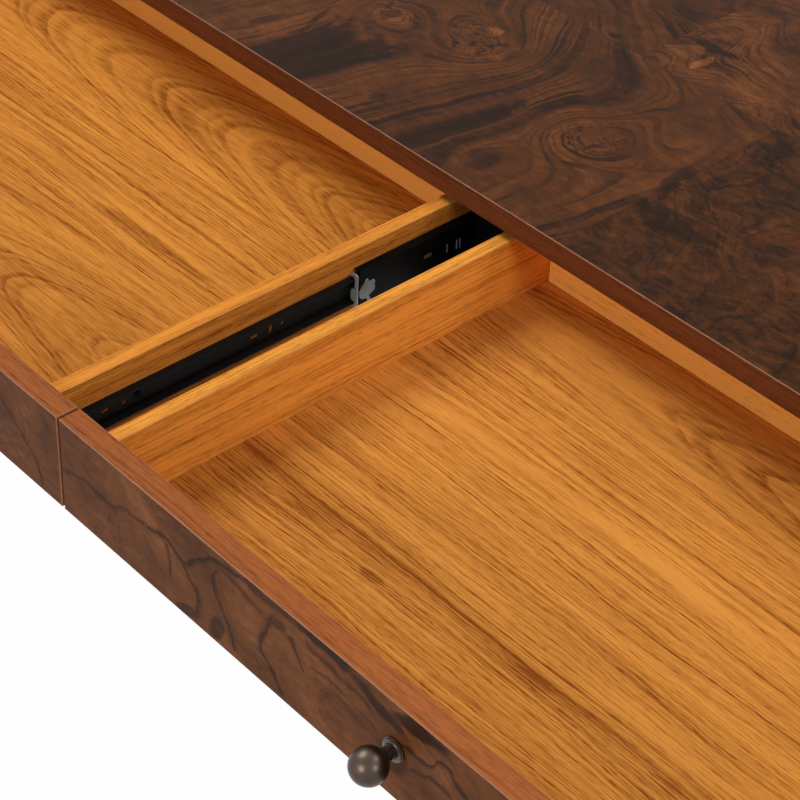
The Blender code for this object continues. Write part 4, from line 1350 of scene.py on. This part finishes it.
class Bench:
    """Models small pieces with the editor's own tools, as by hand, and copies those that repeat."""

    SMALLEST = 0.00005
    ORIGIN = Vector((0.0, 0.0, 0.0))
    MIRROR = (-1.0, 1.0, 1.0)
    EASED_FROM = math.radians(50.0)
    EASED_STEPS = 2

    def __init__(self) -> None:
        """Start with no models."""
        self.models: dict[str, bpy.types.Object] = {}

    @staticmethod
    def clear() -> None:
        """Deselect everything, so that the next tool acts on the new piece alone."""
        bpy.ops.object.select_all(action="DESELECT")

    @classmethod
    def choose(cls, pieces: list[bpy.types.Object]) -> None:
        """Select these pieces alone, the first as the active one.

        Args:
            pieces: the pieces to select.
        """
        cls.clear()
        for piece in pieces:
            piece.select_set(True)
        bpy.context.view_layer.objects.active = pieces[0]

    @staticmethod
    def pick(made: bpy.types.Object, index: int) -> Vector:
        """Select one corner of a piece in edit mode and return its place.

        Args:
            made: the piece.
            index: the corner's number.

        Returns:
            The corner's place.
        """
        mesh = bmesh.from_edit_mesh(made.data)
        mesh.verts.ensure_lookup_table()
        for corner in mesh.verts:
            corner.select_set(corner.index == index)
        mesh.select_flush_mode()
        bmesh.update_edit_mesh(made.data)
        return made.matrix_world @ mesh.verts[index].co

    @staticmethod
    def call(made: bpy.types.Object, name: str) -> bpy.types.Object:
        """Name a piece and its mesh, and return the piece.

        Args:
            made: the piece.
            name: its name.

        Returns:
            The piece.
        """
        made.name = name
        made.data.name = name
        return made

    @classmethod
    def settle(cls, made: bpy.types.Object, name: str, angle: float = 40.0) -> bpy.types.Object:
        """Close a piece's edit, turn its faces outwards and put its place in its mesh.

        Args:
            made: the piece, in edit mode.
            name: its name.
            angle: the sharpest angle that is shaded smooth, in degrees.

        Returns:
            The finished piece.
        """
        bpy.ops.mesh.select_all(action="SELECT")
        bpy.ops.mesh.normals_make_consistent(inside=False)
        bpy.ops.object.mode_set(mode="OBJECT")
        bpy.ops.object.transform_apply(location=True, rotation=True, scale=True)
        bpy.ops.object.shade_smooth_by_angle(angle=math.radians(angle))
        return cls.call(made, name)

    @classmethod
    def cut_out(cls, name: str, outline: list[Vector], thickness: Vector, edge: float) -> bpy.types.Object:
        """Cut a sheet piece: a disc whose corners are moved to an outline, then extruded and eased.

        Args:
            name: the piece's name.
            outline: the corners of one face, in order.
            thickness: the way to the other face.
            edge: the width of the eased edges.

        Returns:
            The finished piece.
        """
        cls.clear()
        centre = sum(outline, Vector()) / len(outline)
        reach = max((point - centre).length for point in outline)
        bpy.ops.mesh.primitive_circle_add(vertices=len(outline), radius=reach, fill_type="NGON",
                                          location=centre)
        made = bpy.context.object
        bpy.ops.object.mode_set(mode="EDIT")
        bpy.ops.mesh.select_mode(type="VERT")
        for index, point in enumerate(outline):
            bpy.ops.transform.translate(value=point - cls.pick(made, index))
        bpy.ops.mesh.select_all(action="SELECT")
        bpy.ops.mesh.extrude_region_move(TRANSFORM_OT_translate={"value": thickness})
        cls.settle(made, name)
        eased = made.modifiers.new("eased", "BEVEL")
        eased.width, eased.segments, eased.angle_limit = edge, cls.EASED_STEPS, cls.EASED_FROM
        bpy.ops.object.modifier_apply(modifier=eased.name)
        return made

    @classmethod
    def turn(cls, name: str, profile: list[tuple[float, float]], base: Vector, axis: Vector,
             sides: int = 48, angle: float = 40.0) -> bpy.types.Object:
        """Turn a piece on a lathe: a disc that is extruded and resized from ring to ring.

        Args:
            name: the piece's name.
            profile: its outline as (radius, height) points.
            base: where its height is 0.
            axis: the way its height grows.
            sides: how many sides it has.
            angle: the sharpest angle that is shaded smooth, in degrees.

        Returns:
            The finished piece.
        """
        cls.clear()
        (radius, height), *others = profile
        tilt = Vector((0.0, 0.0, 1.0)).rotation_difference(axis).to_euler()
        bpy.ops.mesh.primitive_circle_add(vertices=sides, radius=radius, fill_type="NGON", rotation=tilt,
                                          location=base + axis * height)
        made = bpy.context.object
        bpy.ops.object.mode_set(mode="EDIT")
        bpy.ops.mesh.select_mode(type="FACE")
        for next_radius, next_height in others:
            rise = axis * (next_height - height)
            bpy.ops.mesh.extrude_region_move(TRANSFORM_OT_translate={"value": rise})
            bpy.ops.transform.resize(value=(next_radius / radius,) * 3,
                                     center_override=base + axis * next_height)
            radius, height = next_radius, next_height
        return cls.settle(made, name, angle)

    @classmethod
    def join(cls, name: str, pieces: list[bpy.types.Object]) -> bpy.types.Object:
        """Join parts that are one piece on the real desk.

        Args:
            name: the joined piece's name.
            pieces: the parts to join.

        Returns:
            The joined piece.
        """
        cls.choose(pieces)
        bpy.ops.object.join()
        return cls.call(pieces[0], name)

    def copy(self, kind: str, name: str, place: Vector, side: int,
             model: Callable[[str], bpy.types.Object]) -> bpy.types.Object:
        """Copy a piece that repeats from its model, which is made at the origin the first time.

        Args:
            kind: the model's name.
            name: the copy's name.
            place: where the model's origin comes to.
            side: 1, or -1 where the copy is the model's mirror image across X.
            model: makes the model under a name.

        Returns:
            The copy, with its own mesh and its place in it.
        """
        if kind not in self.models:
            self.models[kind] = model(kind)
        self.choose([self.models[kind]])
        bpy.ops.object.duplicate(linked=False)
        made = bpy.context.object
        bpy.ops.object.mode_set(mode="EDIT")
        bpy.ops.mesh.select_all(action="SELECT")
        if side < 0:
            bpy.ops.transform.resize(value=self.MIRROR, center_override=self.ORIGIN)
            bpy.ops.mesh.normals_make_consistent(inside=False)
        bpy.ops.transform.translate(value=place)
        bpy.ops.object.mode_set(mode="OBJECT")
        return self.call(made, name)

    def put_away(self) -> None:
        """Delete the models once every copy is in its place."""
        for model in self.models.values():
            bpy.data.meshes.remove(model.data)
        self.models.clear()


def place_piece(piece: bpy.types.Object, body: str, slot: str, material: bpy.types.Material,
                *nodes: str) -> bpy.types.Object:
    """Hand a finished piece over: its finish, its body and the nodes that it stands for.

    Args:
        piece: the finished piece.
        body: the body that it rides on.
        slot: not used.
        material: its finish.
        nodes: the CAD nodes that it replaces.

    Returns:
        The piece.
    """
    piece.data.materials.clear()
    piece.data.materials.append(material)
    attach(piece, body)
    if nodes:
        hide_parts(*nodes)
    LOG.info("%s rides on %s", piece.name, body)
    return piece


def dress(node: str, material: bpy.types.Material) -> None:
    """Give a carried-over CAD node its material, in every slot it has.

    Args:
        node: the CAD node.
        material: its finish.
    """
    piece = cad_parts[node]
    for held in piece.material_slots:
        held.material = material
    LOG.info("%s is dressed in %s", node, material.name)


@dataclass(frozen=True)
class SoftBox:
    """A square soft box: the way to it from the desk, how far off it hangs, its width and its power."""

    name: str
    direction: tuple[float, float, float]
    distance: float
    size: float
    power: float

    def hang(self, target: Vector) -> None:
        """Hang the box in metres from the target and point it there, at its power in watts.

        Args:
            target: what the box points at.
        """
        held = bpy.data.lights.new(self.name, "AREA")
        held.shape = "SQUARE"
        held.size = self.size
        held.energy = self.power
        made = bpy.data.objects.new(self.name, held)
        bpy.context.scene.collection.objects.link(made)
        direction = Vector(self.direction)
        made.location = target + direction.normalized() * self.distance
        made.rotation_euler = direction.to_track_quat("Z", "Y").to_euler()


@dataclass
class Studio:
    """The camera, the soft boxes whose highlights show on the knob, and the pale floor."""

    camera_place: Vector = field(default_factory=lambda: Vector((1.04332, -1.23961, 1.76192)))
    azimuth: float = 45.36
    elevation: float = 39.147
    roll: float = 3.347
    lens: float = 96.359
    sensor: float = 36.0
    view_reach: float = 100.0
    floor_size: float = 40.0
    target: Vector = field(default_factory=lambda: Vector((0.1, -0.3, 0.7)))
    boxes: tuple[SoftBox, ...] = (SoftBox("key_left", (-0.60, -0.12, 0.79), 3.2, 1.5, 58.0),
                                  SoftBox("front", (0.13, -0.93, 0.33), 3.0, 0.66, 30.0),
                                  SoftBox("right", (0.88, -0.09, 0.47), 3.2, 0.75, 20.0),
                                  SoftBox("back_right", (0.40, 0.45, 0.79), 3.2, 1.20, 30.0))
    fill_colour: Colour = (1.0, 0.93, 0.84)
    fill_strength: float = 0.07
    paper: tuple[Colour, Colour] = ((0.80, 0.80, 0.80), (0.82, 0.82, 0.82))
    paper_glow: float = 0.985

    def camera(self) -> None:
        """Set the camera at the photograph's place and angle."""
        held = bpy.data.cameras.new("camera")
        held.lens = self.lens
        held.sensor_width = self.sensor
        held.clip_end = self.view_reach
        made = bpy.data.objects.new("camera", held)
        bpy.context.scene.collection.objects.link(made)
        turn = (Matrix.Rotation(math.radians(self.azimuth), 3, "Z")
                @ Matrix.Rotation(math.radians(90.0 - self.elevation), 3, "X")
                @ Matrix.Rotation(math.radians(self.roll), 3, "Z"))
        made.matrix_world = Matrix.Translation(self.camera_place) @ turn.to_4x4()
        bpy.context.scene.camera = made

    @staticmethod
    def seen(graph: Graph) -> Socket:
        """Return 1 for the rays that show the background itself: camera, glossy and transmission.

        Args:
            graph: the graph to write into.

        Returns:
            The mask's socket.
        """
        path = graph.node("ShaderNodeLightPath")
        shown = graph.math("MAXIMUM", path.outputs["Is Camera Ray"], path.outputs["Is Glossy Ray"])
        return graph.math("MAXIMUM", shown, path.outputs["Is Transmission Ray"])

    def world(self) -> None:
        """Make the world white to the camera and plain and soft to the desk."""
        world = bpy.data.worlds.new("studio_world")
        bpy.context.scene.world = world
        world.use_nodes = True
        graph = Graph(world.node_tree)
        seen = self.seen(graph)
        back = world.node_tree.nodes["Background"]
        graph.feed(back.inputs["Color"], graph.mix(seen, self.fill_colour, (1.0, 1.0, 1.0)))
        graph.feed(back.inputs["Strength"], graph.scale(seen, self.fill_strength, 1.0))

    def floor(self) -> None:
        """Lay a pale floor that shows white and keeps the desk's soft shadow."""
        bpy.ops.mesh.primitive_plane_add(size=self.floor_size, location=(0.0, 0.0, 0.0))
        made = bpy.context.object
        made.name = "floor"
        graph, shader, material = new_material("floor_paper", Roughness=0.9, Specular_IOR_Level=0.1)
        tint = graph.noise(graph.surface()[0], 3.0)
        graph.feed(shader.inputs["Base Color"], graph.mix(tint, *self.paper))
        glow = graph.node("ShaderNodeEmission")
        graph.feed(glow.inputs["Strength"], 1.0)
        both = graph.node("ShaderNodeMixShader")
        graph.feed(both.inputs[0], graph.math("MULTIPLY", self.seen(graph), self.paper_glow))
        graph.feed(both.inputs[1], shader.outputs[0])
        graph.feed(both.inputs[2], glow.outputs[0])
        graph.feed(material.node_tree.nodes["Material Output"].inputs["Surface"], both.outputs[0])
        made.data.materials.append(material)

    def build(self) -> None:
        """Set up the whole studio."""
        bpy.context.scene.view_settings.view_transform = "Standard"
        self.camera()
        for box in self.boxes:
            box.hang(self.target)
        self.world()
        self.floor()


@dataclass
class Case:
    """The desktop, the shallow case under it and the legs."""

    effects: SharedEffects

    def build(self) -> None:
        """Dress every piece of the case."""
        worn = {"desktop": DESKTOP_BURL, "centre_divider": DIVIDER_BLACK}
        worn.update({f"{side}_side_panel": PANEL_WALNUT for side in ("left", "right")})
        worn.update({node: RAIL_WALNUT for node in ("back_panel", "front_bottom_rail", "rear_bottom_rail")})
        for corner in ("front_left", "front_right", "rear_left", "rear_right"):
            worn.update({f"{corner}_leg": LEG_WALNUT, f"{corner}_leg_plate": PLATE_BLACK,
                         f"{corner}_glide": GLIDE_BLACK})
        for node, finish in worn.items():
            dress(node, self.effects.finish(finish))


@dataclass
class Drawer:
    """One drawer: its burl front, its oak box and its knob, whose sizes are shares of the solids' own."""

    word: str
    side: int
    effects: SharedEffects
    bench: Bench
    neck_share: float = 0.39
    neck_foot: float = 1.12
    neck_waist: float = 0.94
    neck_step: float = 0.0008
    waist_step: float = 1.6
    ball_rings: int = 36
    ball_sides: int = 72
    ball_smooth: float = 35.0
    collar_smooth: float = 28.0
    collar_shares: tuple[tuple[float, float], ...] = (
        (0.96, 0.0), (1.0, 0.04), (1.0, 0.30), (0.97, 0.34), (0.90, 0.36), (0.88, 0.42), (0.88, 0.48),
        (0.95, 0.52), (0.96, 0.56), (0.96, 0.74), (0.93, 0.79), (0.82, 0.82), (0.80, 0.88), (0.72, 0.94),
        (0.60, 0.96), (0.58, 1.0))

    def build(self) -> None:
        """Dress the drawer's pieces and turn its knob."""
        # Painted light: the right drawer's box sides are a lighter copy of the oak than the left's, for the
        # right drawer's lit inner faces and the left drawer's shaded outer faces.
        front, floor, light = ((LEFT_FRONT, LEFT_FLOOR, (0.86, 0.315, 0.046)) if self.side < 0
                               else (RIGHT_FRONT, RIGHT_FLOOR, (0.97, 0.385, 0.060)))
        start = 10.0 * self.side
        # The side oak gets painted shade on its faces that point towards the desk's middle.
        side_oak = Oak(f"{self.word}_side_oak", Axis.Y, 41.0 + start, shade=0.02, light=light,
                       boards=(Board(density=380.0, lines=0.40, wave=0.35),),
                       darker_face=Vector((-self.side, 0.0, 0.0)))
        # The backs are a lighter copy of the oak than the sides: painted light on their inner faces, which
        # face the front.
        back_oak = Oak(f"{self.word}_back_oak", Axis.X, 47.0 + start, shade=-0.26, light=(0.96, 0.42, 0.085),
                       boards=(Board(density=380.0, lines=0.45, wave=0.35),))
        for piece, finish in (("front", front), ("floor", floor), ("inboard_side", side_oak),
                              ("outboard_side", side_oak), ("back", back_oak), ("knob_screw", SCREW_ZINC)):
            dress(f"{self.word}_{piece}", self.effects.finish(finish))
        self.knob()

    def knob(self) -> None:
        """Turn the ball knob with its waisted neck, and the ringed collar that it stands on."""
        low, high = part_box(f"{self.word}_knob")
        collar_low, collar_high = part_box(f"{self.word}_knob_collar")
        base = Vector(((low.x + high.x) / 2, collar_high.y, (low.z + high.z) / 2))
        radius, rim = (high.z - low.z) / 2, (collar_high.z - collar_low.z) / 2
        top = collar_high.y - collar_low.y
        for kind, finish, node, profile, angle in (
                ("ball_knob", BALL_METAL, "knob", self.ball(radius, top, base.y - low.y - radius),
                 self.ball_smooth),
                ("ringed_collar", COLLAR_METAL, "knob_collar",
                 [(rim * along, top * up) for along, up in self.collar_shares], self.collar_smooth)):
            made = self.bench.copy(kind, f"{self.word}_{kind}", base, 1,
                                   lambda name: Bench.turn(name, profile, Bench.ORIGIN, FRONT_FACE,
                                                           self.ball_sides, angle))
            place_piece(made, self.word, "gunmetal", self.effects.finish(finish), f"{self.word}_{node}")

    def ball(self, radius: float, top: float, reach: float) -> list[tuple[float, float]]:
        """Return the outline of the neck and the ball.

        Args:
            radius: the ball's radius.
            top: how high the collar stands.
            reach: how far out the ball's middle is.

        Returns:
            The (radius, height) points from the collar to the ball's pole.
        """
        neck = self.neck_share * radius
        start = math.asin(neck / radius)
        profile = [(neck * self.neck_foot, top), (neck * self.neck_foot, top + self.neck_step),
                   (neck * self.neck_waist, top + self.neck_step * self.waist_step)]
        for step in range(self.ball_rings):
            angle = start + (math.pi - start) * step / self.ball_rings
            profile.append((radius * math.sin(angle), reach - radius * math.cos(angle)))
        return [*profile, (Bench.SMALLEST, reach + radius)]


@dataclass
class Slide:
    """One three-member telescopic slide, with depths from the face it hangs on towards the drawer box."""

    drawer: str
    place: str
    case_face: float
    towards: int
    effects: SharedEffects
    bench: Bench
    plate: float = 0.0012
    blade: float = 0.0007
    eased: float = 0.00018
    blade_depth: float = 0.0018
    hook: tuple[tuple[float, float], ...] = (
        (0.0022, 0.0160), (0.0034, 0.0176), (0.0060, 0.0181), (0.0090, 0.0179), (0.0112, 0.0168),
        (0.0122, 0.0148), (0.0120, 0.0131), (0.0106, 0.0130), (0.0094, 0.0142), (0.0076, 0.0142),
        (0.0063, 0.0128), (0.0058, 0.0098), (0.0060, 0.0066), (0.0070, 0.0048), (0.0046, 0.0036),
        (0.0046, 0.0029), (0.0096, 0.0016), (0.0107, -0.0014), (0.0110, -0.0060), (0.0107, -0.0092),
        (0.0092, -0.0104), (0.0058, -0.0108), (0.0056, -0.0120), (0.0066, -0.0134), (0.0092, -0.0136),
        (0.0106, -0.0132), (0.0120, -0.0137), (0.0120, -0.0160), (0.0104, -0.0176), (0.0060, -0.0181),
        (0.0034, -0.0176), (0.0022, -0.0160))
    latch: tuple[tuple[float, float], ...] = (
        (0.0020, -0.0030), (0.0026, 0.0010), (0.0050, 0.0046), (0.0078, 0.0076), (0.0088, 0.0104),
        (0.0112, 0.0112), (0.0124, 0.0086), (0.0138, 0.0066), (0.0158, 0.0074), (0.0188, 0.0068),
        (0.0200, 0.0046), (0.0190, 0.0014), (0.0200, -0.0012), (0.0192, -0.0044), (0.0160, -0.0060),
        (0.0134, -0.0074), (0.0158, -0.0136), (0.0128, -0.0150), (0.0100, -0.0088), (0.0066, -0.0088),
        (0.0036, -0.0068))
    lug_places: tuple[tuple[float, float, float], ...] = (
        (0.1040, 0.0050, -0.0040), (0.1155, 0.0045, -0.0052), (0.1195, 0.0042, -0.0056))
    lug_width: float = 0.0007
    lug_depth: float = 0.0008
    boss_setback: float = 0.0726
    boss_radius: float = 0.0036
    boss_sides: int = 24
    boss_shares: tuple[tuple[float, float], ...] = (
        (1.0, 0.0002), (0.92, 0.0008), (0.55, 0.0011), (0.45, 0.0007), (0.30, 0.0004), (0.10, 0.0004))

    @property
    def word(self) -> str:
        """The name that all of the slide's pieces start with."""
        return f"{self.drawer}_{self.place}_slide"

    def build(self) -> None:
        """Dress the members and cages, and add the end stop, its latch, the lugs and the boss."""
        for member, finish in (("cabinet_member", SLIDE_BLACK), ("middle_member", SLIDE_BLACK),
                               ("drawer_member", WEB_GREY), ("outer_ball_cage", STOP_ZINC),
                               ("inner_ball_cage", STOP_ZINC)):
            dress(f"{self.word}_{member}", self.effects.finish(finish))
        low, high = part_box(f"{self.word}_end_stop")
        stop_place = Vector((self.case_face, low.y, (low.z + high.z) / 2))
        middle = f"{self.word}_middle"
        self.fit("hooked_stop", stop_place, self.cut_hook, middle, "zinc", STOP_ZINC, f"{self.word}_end_stop")
        self.fit("latch_blade", stop_place, self.cut_latch, middle, "zinc", LATCH_ZINC)
        self.fit("web_lugs", stop_place, self.cut_lugs, middle, "zinc", LATCH_ZINC)
        low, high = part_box(f"{self.word}_drawer_member")
        web = high.x if self.towards < 0 else low.x
        boss_place = Vector((web, low.y + self.boss_setback, (low.z + high.z) / 2))
        self.fit("web_boss", boss_place, self.turn_boss, self.drawer, "black_steel", SLIDE_BLACK)

    def fit(self, kind: str, place: Vector, model: Callable[[str], bpy.types.Object], body: str, slot: str,
            finish: HardFinish, *nodes: str) -> None:
        """Copy one of the slide's fittings to its place and hand it over.

        Args:
            kind: what the fitting is.
            place: where its model's origin comes to.
            model: makes the model, for a slide that runs towards +X.
            body: the body that it rides on.
            slot: handed on to place_piece, which does not use it.
            finish: its finish.
            nodes: the CAD nodes that it replaces.
        """
        made = self.bench.copy(kind, f"{self.word}_{kind}", place, self.towards, model)
        place_piece(made, body, slot, self.effects.finish(finish), *nodes)

    def cut_hook(self, name: str) -> bpy.types.Object:
        """Return the end stop's plate, whose ends hook round the middle member."""
        outline = [Vector((depth, 0.0, up)) for depth, up in self.hook]
        return Bench.cut_out(name, outline, Vector((0.0, self.plate, 0.0)), self.eased)

    def cut_latch(self, name: str) -> bpy.types.Object:
        """Return the latch blade that lies on the middle member's web."""
        outline = [Vector((self.blade_depth, along, up)) for along, up in self.latch]
        return Bench.cut_out(name, outline, Vector((self.blade, 0.0, 0.0)), self.eased)

    def cut_lugs(self, name: str) -> bpy.types.Object:
        """Return the small upright lugs on the middle member's web.

        Args:
            name: the piece's name.

        Returns:
            The finished piece.
        """
        made = []
        for number, (back, top, bottom) in enumerate(self.lug_places):
            corners = [Vector((self.blade_depth, back + along, up))
                       for along, up in ((0.0, bottom), (self.lug_width, bottom + self.lug_width),
                                         (self.lug_width, top - self.lug_width), (0.0, top))]
            made.append(Bench.cut_out(f"{name}_{number}", corners, Vector((self.lug_depth, 0.0, 0.0)),
                                      self.eased / 2))
        return Bench.join(name, made)

    def turn_boss(self, name: str) -> bpy.types.Object:
        """Return the round boss on the drawer member's web, with the dimple in its middle.

        Args:
            name: the piece's name.

        Returns:
            The finished piece.
        """
        low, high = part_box(f"{self.word}_drawer_member")
        base = Vector((abs(high.x - low.x) - self.plate, 0.0, 0.0))
        profile = [(self.boss_radius * share, up) for share, up in self.boss_shares]
        return Bench.turn(name, profile, base, Vector((-1.0, 0.0, 0.0)), self.boss_sides)


def main() -> None:
    """Build the desk's dressing in order and report each sub-assembly."""
    logging.basicConfig(level=logging.INFO, format="%(message)s")
    effects, bench = SharedEffects(), Bench()
    Studio().build()
    LOG.info("studio is ready")
    Case(effects).build()
    LOG.info("case is dressed")
    for word, side in (("left_drawer", -1), ("right_drawer", 1)):
        Drawer(word, side, effects, bench).build()
        LOG.info("%s is dressed", word)
        divider_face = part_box("centre_divider")[1].x * side
        panel_low, panel_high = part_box(f"{word.split('_')[0]}_side_panel")
        panel_face = panel_high.x if side < 0 else panel_low.x
        Slide(word, "inboard", divider_face, side, effects, bench).build()
        Slide(word, "outboard", panel_face, -side, effects, bench).build()
    bench.put_away()


if __name__ == "__main__":
    main()
